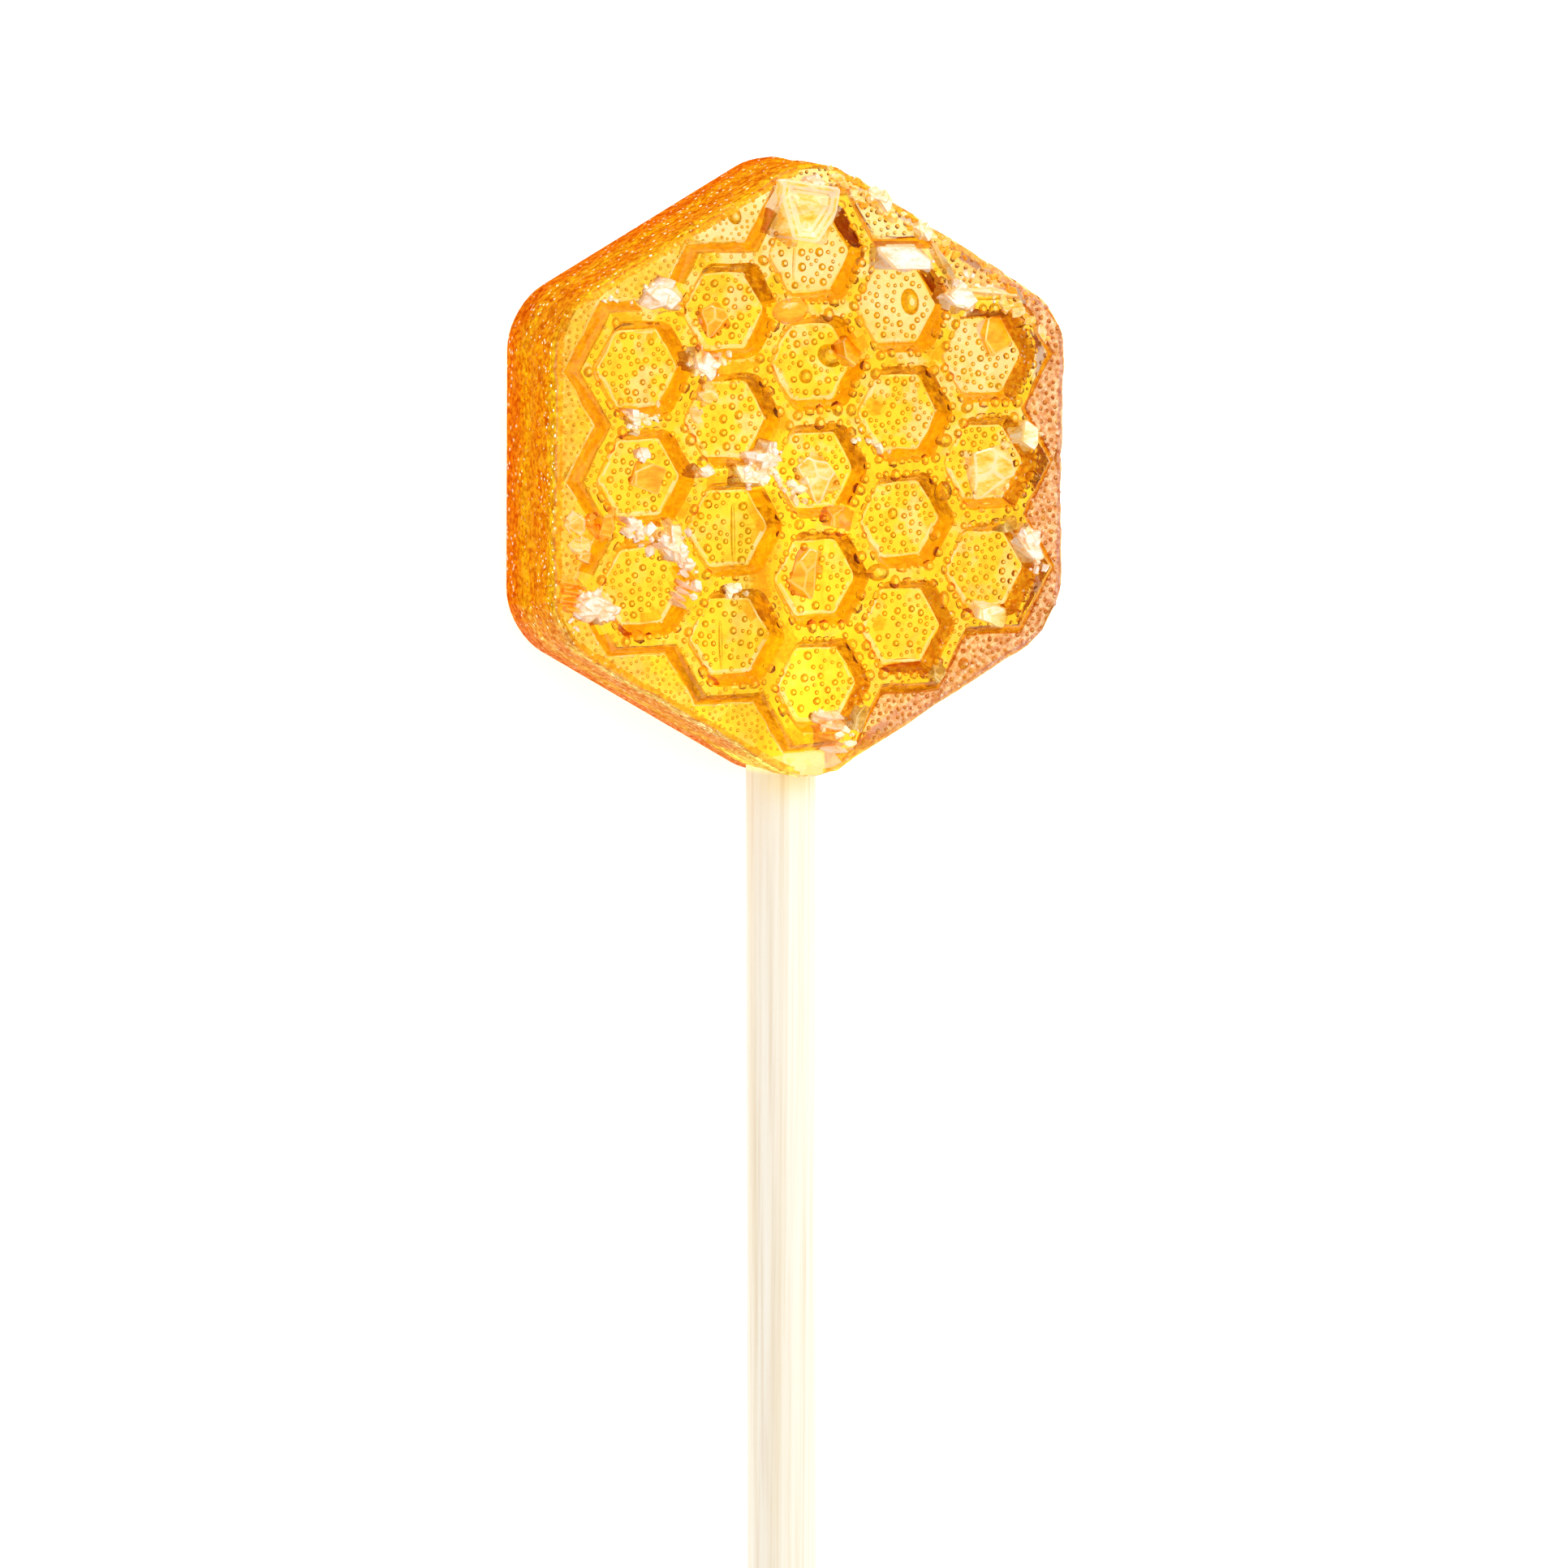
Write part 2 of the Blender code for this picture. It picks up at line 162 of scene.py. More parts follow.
# Crumbs strewn along a line on the face: finish, from, to, how far aside, how many, widest.
# Millimetres.
CRUMBS = (
    ("golden", (0.5, 21.6), (10.2, 16.6), 0.5, 46, 0.75),
    ("amber", (2.0, 20.6), (17.5, 12.2), 0.6, 40, 0.6),
    ("white", (9.0, 16.0), (14.5, 12.6), 0.8, 14, 0.6),
    ("white", (-15.2, -3.6), (-10.6, -5.2), 0.9, 26, 0.75),
    ("white", (-11.3, -5.0), (-9.6, -8.6), 0.7, 22, 0.7),
    ("white", (-5.9, -0.4), (-3.4, 1.9), 0.7, 26, 0.7),
    ("clear", (-5.6, 0.6), (-0.6, -1.6), 0.8, 22, 0.8),
    ("white", (-18.6, -8.4), (-15.8, -10.4), 0.9, 24, 0.8),
    ("clear", (-14.5, 3.0), (-12.4, 5.4), 0.7, 14, 0.6),
    ("clear", (-9.8, 7.2), (-6.9, 8.4), 0.6, 14, 0.6),
    ("clear", (2.6, 2.6), (6.0, 1.2), 0.7, 12, 0.6),
    ("white", (16.3, -4.4), (17.5, -7.4), 0.5, 14, 0.6),
    ("clear", (0.0, -17.8), (3.6, -19.8), 0.7, 16, 0.7),
    ("clear", (-16.6, 12.6), (-12.2, 13.4), 0.6, 12, 0.6),
    ("amber", (-18.6, -6.5), (-15.6, -2.0), 0.8, 14, 0.9),
    ("white", (-19.0, -10.3), (-18.4, -11.6), 0.3, 8, 0.5),
    ("golden", (12.5, 13.6), (18.6, 9.6), 0.5, 26, 0.8),
    ("golden", (-19.3, -2.6), (-18.0, -6.4), 0.6, 9, 1.5),
    ("amber", (-17.6, -2.9), (-15.9, -4.6), 0.5, 6, 1.4),
    ("clear", (-7.4, -8.2), (-5.2, -8.9), 0.4, 7, 1.2),
    ("golden", (-9.4, 4.2), (-8.2, 6.6), 0.4, 6, 1.3),
)

# Flat amber glazes on the ribs, free of bubbles: place across and up the face, length, width,
# turn in degrees. Millimetres.
GLAZES = (
    (2.2, 9.3, 2.9, 1.7, 20),
    (-12.6, 10.4, 2.6, 1.5, -12),
    (-8.6, 8.9, 1.9, 1.2, -30),
    (-6.4, 8.0, 2.4, 1.1, 4),
    (-3.3, 3.6, 2.2, 1.2, 55),
    (-4.3, -3.4, 1.7, 5.0, 8),
    (-4.6, -8.6, 1.6, 4.2, -4),
    (-2.9, -12.6, 2.6, 3.2, -20),
    (-0.4, -19.2, 4.6, 2.2, -10),
    (-8.2, -0.6, 1.8, 1.2, 0),
    (-11.1, -2.4, 1.6, 1.4, 40),
    (-10.6, -7.6, 1.6, 2.2, 20),
    (-12.7, -10.2, 2.2, 1.2, 30),
    (-17.2, -3.6, 2.4, 1.6, -40),
    (-14.3, 4.9, 2.2, 0.9, 0),
    (-14.9, 11.2, 2.4, 1.1, -20),
    (-7.7, 7.5, 2.6, 1.0, -10),
    (4.9, 4.6, 1.4, 1.2, 0),
    (8.8, 8.4, 1.5, 1.2, 30),
    (-10.9, -0.9, 1.9, 1.3, 60),
    (5.6, -11.2, 1.6, 1.1, 40),
)

# Shards lying in the cells: finish, kind, place across and up the face, length, width, how far it
# stands out of the cell's floor, turn in degrees. Millimetres.
CELL_SHARDS = (
    ("amber", "wedge", 14.3, 10.0, 2.1, 2.6, 0.45, 25),
    ("golden", "pane", 14.2, -0.1, 3.7, 3.4, 0.30, 15),
    ("amber", "pane", -0.6, -7.3, 3.6, 2.0, 0.35, 75),
    ("golden", "pane", 0.2, -0.3, 2.6, 3.2, 0.30, 40),
    ("amber", "wedge", -13.0, -0.1, 2.4, 2.0, 0.40, -20),
    ("white", "lump", -13.4, 1.6, 1.3, 0.9, 0.45, 10),
    ("amber", "pane", -8.0, 11.2, 2.1, 2.0, 0.35, 30),
)

# Where no bubble lies: each chip, shard and glaze as an oval, laid out as in GLAZES
OVALS = [(x, y, length, width, turn)
         for finish, kind, x, y, length, width, tall, turn in (*CHIPS, *CELL_SHARDS)]
OVALS.extend(GLAZES)


class CandySizes(PropertyGroup):
    across: FloatProperty(name="Across flats", description="Candy, side to side at its back",
                          default=41.1 * MM, unit="LENGTH")
    depth: FloatProperty(name="Depth", description="From the flat back to the face between the ribs",
                         default=9.5 * MM, unit="LENGTH")
    draft: FloatProperty(name="Draft", description="How far each side leans in towards the face",
                         default=0.46 * MM, unit="LENGTH")
    corner: FloatProperty(name="Corner radius", description="Rounding of the six corners",
                          default=5.4 * MM, unit="LENGTH")
    back_round: FloatProperty(name="Back rim", description="Rounding of the back's rim",
                              default=0.35 * MM, unit="LENGTH")
    face_round: FloatProperty(name="Face rim", description="Rounding of the face's rim",
                              default=0.5 * MM, unit="LENGTH")
    pitch: FloatProperty(name="Pitch", description="From cell to cell", default=7.86 * MM, unit="LENGTH")
    cell: FloatProperty(name="Cell", description="A cell's floor, side to side",
                        default=5.5 * MM, unit="LENGTH")
    rib_height: FloatProperty(name="Rib height", description="From the face to the top of a rib",
                              default=1.2 * MM, unit="LENGTH")
    rib_slope: FloatProperty(name="Rib slope", description="How far a rib's side leans out",
                             default=0.7 * MM, unit="LENGTH")
    sink: FloatProperty(name="Cell sink", description="How far the cells' floors lie below the face",
                        default=0.15 * MM, unit="LENGTH")
    trim: FloatProperty(name="Rim trim", description="How much narrower the outermost rib is",
                        default=0.3 * MM, unit="LENGTH")
    waver: FloatProperty(name="Waver", description="Unevenness of the cast surface",
                         default=0.16 * MM, unit="LENGTH")
    bubble: FloatProperty(name="Bubble", description="Usual width of a bubble in a cell",
                          default=0.48 * MM, unit="LENGTH")
    bubble_gap: FloatProperty(name="Bubble gap", description="Left free between two bubbles",
                              default=0.09 * MM, unit="LENGTH")
    seed: IntProperty(name="Seed", description="Seed of every random draw", default=7)


class CandyColours(PropertyGroup):
    absorb: FloatVectorProperty(name="Candy in depth", description="What the candy lets through in depth",
                                default=(0.955, 0.893, 0.025), size=3, subtype="COLOR", min=0, max=1)
    density: FloatProperty(name="Density", description="How fast the candy darkens with depth, per metre",
                           default=285.0)
    wood: FloatVectorProperty(name="Wood", description="The stick between its darker and paler streaks",
                              default=(0.93, 0.88, 0.755), size=3, subtype="COLOR", min=0, max=1)
    floor: FloatVectorProperty(name="Floor", description="The stage's pale floor",
                               default=(0.9, 0.9, 0.9), size=3, subtype="COLOR", min=0, max=1)


def sizes():
    return bpy.context.scene.candy_sizes


def colours():
    return bpy.context.scene.candy_colours


def select_only(*pieces):
    bpy.ops.object.select_all(action="DESELECT")
    for piece in pieces:
        piece.select_set(True)
    bpy.context.view_layer.objects.active = pieces[0]


def start_edit(piece):
    select_only(piece)
    bpy.ops.object.mode_set(mode="EDIT")


def end_edit():
    bpy.ops.object.mode_set(mode="OBJECT")


def pick(piece, kind, rule):
    """In edit mode, selects the vertices, edges or faces for which the rule holds, and nothing else."""
    bpy.ops.mesh.select_mode(type=kind)
    bpy.ops.mesh.select_all(action="DESELECT")
    shape = bmesh.from_edit_mesh(piece.data)
    things = {"VERT": shape.verts, "EDGE": shape.edges, "FACE": shape.faces}[kind]
    found = [thing for thing in things if rule(thing)]
    for thing in found:
        thing.select_set(True)
    bmesh.update_edit_mesh(piece.data)
    if not found:
        raise RuntimeError(f"{piece.name}: nothing to select")


def join(*pieces):
    select_only(*pieces)
    if len(pieces) > 1:
        bpy.ops.object.join()
    return pieces[0]


def name_piece(piece, name):
    piece.name = name
    piece.data.name = name
    return piece


def fix_place(piece):
    """Puts the piece's place into its mesh."""
    select_only(piece)
    bpy.ops.object.transform_apply(location=True, rotation=True, scale=True)


def apply_modifier(piece, modifier):
    select_only(piece)
    bpy.ops.object.modifier_apply(modifier=modifier.name)


def boolean(piece, operation, tool):
    """Joins the tool to the piece or takes it out of it, and uses the tool up."""
    modifier = piece.modifiers.new(operation.lower(), "BOOLEAN")
    modifier.operation = operation
    modifier.object = tool
    modifier.solver = "MANIFOLD"
    apply_modifier(piece, modifier)
    bpy.data.objects.remove(tool, do_unlink=True)


def displace(piece, kind, scale, strength, direction="NORMAL"):
    """Moves the surface above the back in and out, or along an axis, by a clouds texture."""
    texture = bpy.data.textures.new(f"{piece.name} {kind}", "CLOUDS")
    texture.noise_scale = scale
    texture.noise_depth = 1
    modifier = piece.modifiers.new(kind, "DISPLACE")
    modifier.texture = texture
    modifier.texture_coords = "LOCAL"
    modifier.strength = strength
    modifier.direction = direction
    modifier.mid_level = 0.5
    modifier.vertex_group = ABOVE_BACK
    apply_modifier(piece, modifier)


def finish_piece(piece, material, node):
    piece.data.materials.clear()
    piece.data.materials.append(material)
    fix_place(piece)
    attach(piece, "root")
    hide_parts(node)


class Look:
    """A material's nodes, built up round its Principled shader."""

    def __init__(self, name):
        self.material = bpy.data.materials.new(name)
        self.material.use_nodes = True
        self.nodes, self.links = self.material.node_tree.nodes, self.material.node_tree.links
        self.shader = self.nodes["Principled BSDF"]
        self.output = self.nodes["Material Output"]

    @cached_property
    def place(self):
        """The piece's own coordinates."""
        return self.add("TexCoord")["Object"]

    def feed(self, node, sockets):
        """Gives each socket, by name or number, its value: another node's output, a number or a colour."""
        for socket, value in sockets.items():
            if isinstance(value, bpy.types.NodeSocket):
                self.links.new(value, node.inputs[socket])
            else:
                node.inputs[socket].default_value = value

    def add(self, kind, sockets=None, **settings):
        """Adds a node with its settings, feeds its sockets and hands over its outputs."""
        node = self.nodes.new(f"ShaderNode{kind}")
        for name, value in settings.items():
            setattr(node, name, value)
        self.feed(node, sockets or {})
        return node.outputs

    def finish(self, sockets):
        """Feeds the shader's sockets and hands over the material."""
        self.feed(self.shader, sockets)
        return self.material

    def attribute(self, name):
        return self.add("Attribute", attribute_name=name)

    def sum(self, kind, *values, limit=False):
        """One step of arithmetic."""
        return self.add("Math", dict(enumerate(values)), operation=kind, use_clamp=limit)[0]

    def noise(self, scale, detail=3.0, roughness=0.65, stretch=(1, 1, 1)):
        """Clouds on the piece's own coordinates, in features per metre."""
        place = self.add("Mapping", {"Vector": self.place, "Scale": stretch})["Vector"]
        return self.add("TexNoise", {"Vector": place, "Scale": scale, "Detail": detail,
                                     "Roughness": roughness})["Fac"]

    def specks(self, scale, size):
        """Fine dots of uneven size, in dots per metre."""
        dots = self.add("TexVoronoi", {"Vector": self.place, "Scale": scale})
        reach = self.sum("MULTIPLY", self.add("SeparateColor", {0: dots["Color"]})[0], size)
        return self.sum("MULTIPLY", self.sum("SUBTRACT", reach, dots["Distance"]), 14.0, limit=True)

    def span(self, value, low, high):
        """0 at the low value, 1 at the high one."""
        return self.add("MapRange", {"Value": value, "From Min": low, "From Max": high})["Result"]

    def ramp(self, value, *stops):
        """Turns a value into a colour or grey by stops of (place, colour)."""
        node = self.nodes.new("ShaderNodeValToRGB")
        elements = node.color_ramp.elements
        while len(elements) < len(stops):
            elements.new(1.0)
        for element, (place, colour) in zip(elements, stops):
            element.position = place
            element.color = (*colour, 1.0) if isinstance(colour, tuple) else (colour, colour, colour, 1.0)
        self.feed(node, {"Fac": value})
        return node.outputs["Color"]

    def mix(self, kind, share, first, second):
        """Mixes two colours, which the node takes in its sockets 6 and 7."""
        return self.add("Mix", {0: share, 6: first, 7: second}, data_type="RGBA", blend_type=kind)[2]

    def bump(self, height, distance, strength):
        relief = self.add("Bump", {"Height": height, "Distance": distance, "Strength": strength})
        self.feed(self.shader, {"Normal": relief["Normal"]})

    def absorb(self, colour, density):
        """Colours the light by how far it runs inside the piece."""
        inside = self.add("VolumeAbsorption", {"Color": (*colour, 1.0), "Density": density})
        self.feed(self.output, {"Volume": inside[0]})

    def let_light_through(self, colour):
        """Lets the lamps reach what lies in and under the clear candy."""
        clear = self.add("BsdfTransparent", {"Color": (*colour, 1.0)})[0]
        shadow = self.add("LightPath")["Is Shadow Ray"]
        both = self.add("MixShader", {0: shadow, 1: self.shader.outputs[0], 2: clear})
        self.feed(self.output, {"Surface": both[0]})


AMBER_STREAK = (0.8, 0.32, 0.012, 1.0)
# Amber clouds over the deep tints, most of them painted shade
AMBER_CLOUD = (0.85, 0.34, 0.012, 1.0)
# Painted glints: pale specks on the frosted sides and margins, in place of their gloss
PAINTED_GLINT = (1.0, 0.86, 0.55, 1.0)
# Painted highlight: the creamy colour of the veil
HIGHLIGHT_CREAM = (1.0, 0.89, 0.60, 1.0)
WHITE = (1.0, 1.0, 1.0)


def broken_skin(look, skin, frost):
    """Grain and amber streaks on the frosted sides and margins."""
    grain = look.ramp(look.noise(2600.0), (0.39, (0.8, 0.42, 0.25)), (0.51, (1.0, 0.95, 0.9)),
                      (0.63, (1.08, 1.4, 1.6)))
    skin = look.mix("MULTIPLY", frost, skin, grain)
    streaks = look.ramp(look.noise(1.0, 3.0, 0.6, (240, 240, 700)), (0.42, 0.0), (0.72, 0.5))
    return look.mix("MIX", look.sum("MULTIPLY", streaks, frost), skin, AMBER_STREAK)


def deep_skin(look, skin, green):
    """Amber clouds and roughness where the tint is deep, which its green tells: mostly the painted shade of
    the slopes and rings, and the sides.
    """
    deep = look.sum("SUBTRACT", 1.0, green)
    clouding = look.ramp(look.noise(1500.0), (0.42, 0.0), (0.62, 0.5))
    skin = look.mix("MIX", look.sum("MULTIPLY", clouding, deep), skin, AMBER_CLOUD)
    rough = look.ramp(look.noise(2000.0), (0.4, (0.72, 0.5, 0.4)), (0.52, WHITE), (0.64, (1.15, 1.45, 1.5)))
    return look.mix("MULTIPLY", deep, skin, rough)


def wall_bands(look, skin, frost):
    """Lighter and darker bands along the candy's sides, which are frosted all over."""
    level = look.sum("MULTIPLY", look.add("SeparateXYZ", {0: look.place})["Z"], 1 / (10 * MM))
    waves = look.sum("MULTIPLY", look.noise(300.0, 3.0, 0.6), 0.3)
    level = look.sum("ADD", level, look.sum("SUBTRACT", waves, 0.15))
    bands = look.ramp(level, (0.2, (0.98, 0.74, 0.8)), (0.38, (1.04, 1.38, 1.0)), (0.5, WHITE),
                      (0.74, (1.0, 1.02, 1.0)), (0.92, (1.03, 1.8, 2.0)))
    wall = look.sum("MULTIPLY", look.sum("SUBTRACT", frost, 0.88), 8.4, limit=True)
    return look.mix("MULTIPLY", wall, skin, bands)


def honey_material():
    """Clear golden candy: depth gives its colour, the tint, frost and veil of the skin do the rest; the tint
    holds painted shade on the slopes, rings and sides, the veil painted highlights.
    """
    look = Look("honey candy")
    tint, frost = look.attribute("tint"), look.attribute("frost")["Fac"]
    mottle = look.noise(1.0, 4.0, 0.62, (700, 700, 1100))
    uneven = look.ramp(mottle, (0.33, (0.66, 0.5, 0.36)), (0.47, (0.93, 0.87, 0.8)), (0.6, WHITE))
    skin = look.mix("MULTIPLY", look.sum("MULTIPLY_ADD", frost, -0.4, 0.65), tint["Color"], uneven)
    skin = broken_skin(look, skin, frost)
    skin = deep_skin(look, skin, look.add("SeparateColor", {0: tint["Color"]})[1])
    # Painted highlights: pale specks strewn over the frosted parts
    bright = look.sum("MULTIPLY", look.specks(2100.0, 0.3), frost)
    skin = wall_bands(look, look.mix("MIX", bright, skin, PAINTED_GLINT), frost)
    clouds = look.ramp(look.noise(420.0, 3.0, 0.6), (0.51, 0.0), (0.62, 1.0))
    solid = look.sum("MULTIPLY_ADD", tint["Alpha"], 3.0, -2.1, limit=True)
    # The veil: painted highlights broken into cloudy patches, and the pale collar
    veil = look.sum("MULTIPLY", look.sum("ADD", clouds, solid, limit=True), tint["Alpha"])
    dull = look.sum("MAXIMUM", look.sum("MULTIPLY", veil, 0.55), frost)
    look.bump(mottle, 0.05 * MM, 0.5)
    look.absorb(colours().absorb, colours().density)
    look.let_light_through((1.0, 0.90, 0.55))
    return look.finish({
        "Base Color": look.mix("MIX", veil, skin, HIGHLIGHT_CREAM),
        "Transmission Weight": look.sum("SUBTRACT", 1.0, dull, limit=True),
        "Roughness": 0.05,
        "IOR": 1.42,
        "Specular IOR Level": 0.0,
        "Specular Tint": (1.0, 0.78, 0.35, 1.0),
    })


CHIP_LOOKS = {
    # low, middle and high colour, painted colour of the edges (a highlight on golden, amber and smoky chips,
    # a shade line on white and clear ones), roughness, how clear
    "white": ((1.0, 0.60, 0.30), (1.0, 0.82, 0.64), (1.0, 0.94, 0.87), (1.0, 0.58, 0.25), 0.1, 0.12),
    "clear": ((1.0, 0.68, 0.20), (1.0, 0.88, 0.56), (1.0, 0.96, 0.84), (1.0, 0.62, 0.18), 0.06, 0.2),
    "golden": ((1.0, 0.50, 0.015), (1.0, 0.73, 0.15), (1.0, 0.91, 0.52), (1.0, 0.90, 0.62), 0.05, 0.4),
    "amber": ((0.95, 0.38, 0.003), (1.0, 0.50, 0.008), (1.0, 0.68, 0.04), (1.0, 0.76, 0.20), 0.06, 0.4),
    "smoky": ((0.42, 0.25, 0.05), (0.70, 0.46, 0.10), (0.92, 0.70, 0.26), (0.9, 0.7, 0.3), 0.12, 0.3),
}


def chip_material(finish):
    """Broken candy: uneven in colour, with a painted edge colour on its bevels (a highlight on golden, amber
    and smoky chips, a shade line on white and clear ones) and a faint painted glow.
    """
    low, middle, high, edges, rough, clear = CHIP_LOOKS[finish]
    look = Look(f"{finish} chip")
    cloudy = look.noise(700.0, 4.0, 0.7, (1.0, 2.6, 1.6))
    colour = look.ramp(cloudy, (0.36, low), (0.48, middle), (0.62, high))
    # Painted edge colour on the bevels, lighter for some finishes and darker for others
    edge = look.sum("MULTIPLY", look.attribute("edge")["Fac"], 0.8)
    colour = look.mix("MIX", edge, colour, (*edges, 1.0))
    look.bump(look.noise(2600.0, 3.0, 0.7), 0.05 * MM, 0.6)
    look.let_light_through(high)
    return look.finish({
        "Base Color": colour,
        # A faint painted glow
        "Emission Color": colour,
        "Emission Strength": 0.04,
        "Roughness": rough,
        "IOR": 1.45,
        "Transmission Weight": clear,
    })


# Bands over which the stick turns from its left side, in painted shade, to its right, and from bare wood to
# the painted glow inside the candy
STICK_SHADE_BAND = (-2.4 * MM, 0.2 * MM)
STICK_GLOW_BAND = (HEAD_LOW.y + 0.3 * MM, HEAD_LOW.y + 1.3 * MM)
GLOWING_WOOD = (1.0, 0.92, 0.15, 1.0)


def wood_material():
    """Pale wood: fine streaks along the stick, painted shade on its left and a painted golden glow inside the
    candy, where the lamps barely reach it.
    """
    look = Look("pale wood")
    fibre = look.noise(1.0, 5.0, 0.62, (2600.0, 26.0, 2600.0))
    broad = look.noise(1.0, 2.0, 0.5, (520.0, 7.0, 520.0))
    grain = look.ramp(fibre, (0.32, (0.84, 0.75, 0.59)), (0.5, tuple(colours().wood)),
                      (0.7, (0.965, 0.945, 0.86)))
    tone = look.ramp(broad, (0.36, (0.95, 0.90, 0.80)), (0.62, WHITE))
    pale = look.mix("MULTIPLY", 0.8, grain, tone)
    place = look.add("SeparateXYZ", {0: look.place})
    # Painted shade along the stick's left side
    shade = look.ramp(look.span(place["X"], *STICK_SHADE_BAND), (0.0, (0.95, 0.93, 0.93)),
                      (0.6, (0.95, 0.92, 0.90)), (1.0, WHITE))
    glow_in_candy = look.span(place["Y"], *STICK_GLOW_BAND)
    colour = look.mix("MIX", glow_in_candy, look.mix("MULTIPLY", 1.0, pale, shade), GLOWING_WOOD)
    look.bump(fibre, 0.05 * MM, 0.5)
    return look.finish({
        "Base Color": colour,
        "Emission Color": colour,
        # Painted glow on the stick inside the candy
        "Emission Strength": look.sum("MULTIPLY", glow_in_candy, 0.58),
        "Roughness": 0.6,
    })


def cell_centres():
    turn = Matrix.Rotation(NET_TURN, 2)
    pitch = sizes().pitch
    centres = []
    for column, count in NET_COLUMNS.items():
        for row in range(count):
            flat = Vector((column * pitch * math.sqrt(3) / 2, ((count - 1) / 2 - row) * pitch))
            centres.append(NET_CENTRE + turn @ flat)
    return centres


def rib_profile(steps):
    """A rib's side, top to foot, as (share of the slope, share of the height) of each step."""
    shares = [k / steps for k in range(steps + 1)]
    heights = [0.25 * t + 0.75 * t * t * (3 - 2 * t) for t in shares]
    return [(shares[k + 1] - shares[k], heights[k + 1] - heights[k]) for k in range(steps)]


def cell_tile():
    """One cell with its half of the ribs round it, modelled at the origin at rib height."""
    s = sizes()
    top = s.depth + s.rib_height
    bpy.ops.object.select_all(action="DESELECT")
    bpy.ops.mesh.primitive_circle_add(vertices=6, radius=s.pitch / math.sqrt(3), fill_type="NGON",
                                      location=(0, 0, top), rotation=(0, 0, math.radians(30)))
    tile = bpy.context.object
    fix_place(tile)
    start_edit(tile)
    bpy.ops.mesh.select_all(action="SELECT")
    bpy.ops.mesh.subdivide(number_cuts=3)
    pick(tile, "FACE", lambda face: True)
    opening = s.cell + 2 * s.rib_slope
    crest = 0.11 * MM
    bpy.ops.mesh.inset(thickness=crest, depth=0)
    bpy.ops.mesh.inset(thickness=(s.pitch - opening) / 2 - crest, depth=0)
    reach = opening / math.sqrt(3)
    pick(tile, "VERT", lambda v: not v.is_boundary and abs(v.co.xy.length - reach) < 0.02 * MM)
    bpy.ops.mesh.bevel(offset=0.6 * MM, segments=3, affect="VERTICES")
    pick(tile, "FACE", lambda face: len(face.verts) > 20)
    for lean, rise in rib_profile(7):
        bpy.ops.mesh.inset(thickness=lean * s.rib_slope, depth=-rise * (s.rib_height + s.sink))
    # The floor rises a little round its foot and dips again towards its middle
    for share, lift in ((0.95, 0.03 * MM), (0.93, 0.0), (0.8, -0.02 * MM), (0.6, -0.02 * MM)):
        bpy.ops.mesh.extrude_region_move(TRANSFORM_OT_translate={"value": (0, 0, lift)})
        bpy.ops.transform.resize(value=(share, share, 1), center_override=(0, 0, top))
    end_edit()
    return tile


def honeycomb_net():
    """Copies of the tile side by side, merged, with the outermost rib's side running down round them."""
    s = sizes()
    tile = cell_tile()
    copies = []
    for centre in cell_centres():
        copy = bpy.data.objects.new("tile", tile.data.copy())
        bpy.context.scene.collection.objects.link(copy)
        copy.matrix_world = Matrix.Translation((*centre, 0)) @ Matrix.Rotation(NET_TURN, 4, "Z")
        copies.append(copy)
    bpy.data.objects.remove(tile, do_unlink=True)
    net = join(*copies)
    fix_place(net)
    start_edit(net)
    bpy.ops.mesh.select_all(action="SELECT")
    bpy.ops.mesh.remove_doubles(threshold=0.03 * MM)
    pick(net, "EDGE", lambda edge: edge.is_boundary)
    half_top = (s.pitch - s.cell) / 2 - s.rib_slope - s.trim
    camber = 0.004 * MM
    side = [(half_top, camber)]
    side += [(lean * s.rib_slope, rise * (s.rib_height - camber)) for lean, rise in rib_profile(6)]
    side += [(0.12 * MM, 0.0), (0.1 * MM, 0.0)]
    for out, down in side:
        bpy.ops.mesh.extrude_edges_move(TRANSFORM_OT_translate={"value": (0, 0, -down)})
        bpy.ops.transform.shrink_fatten(value=out, use_even_offset=True)
    end_edit()
    return net


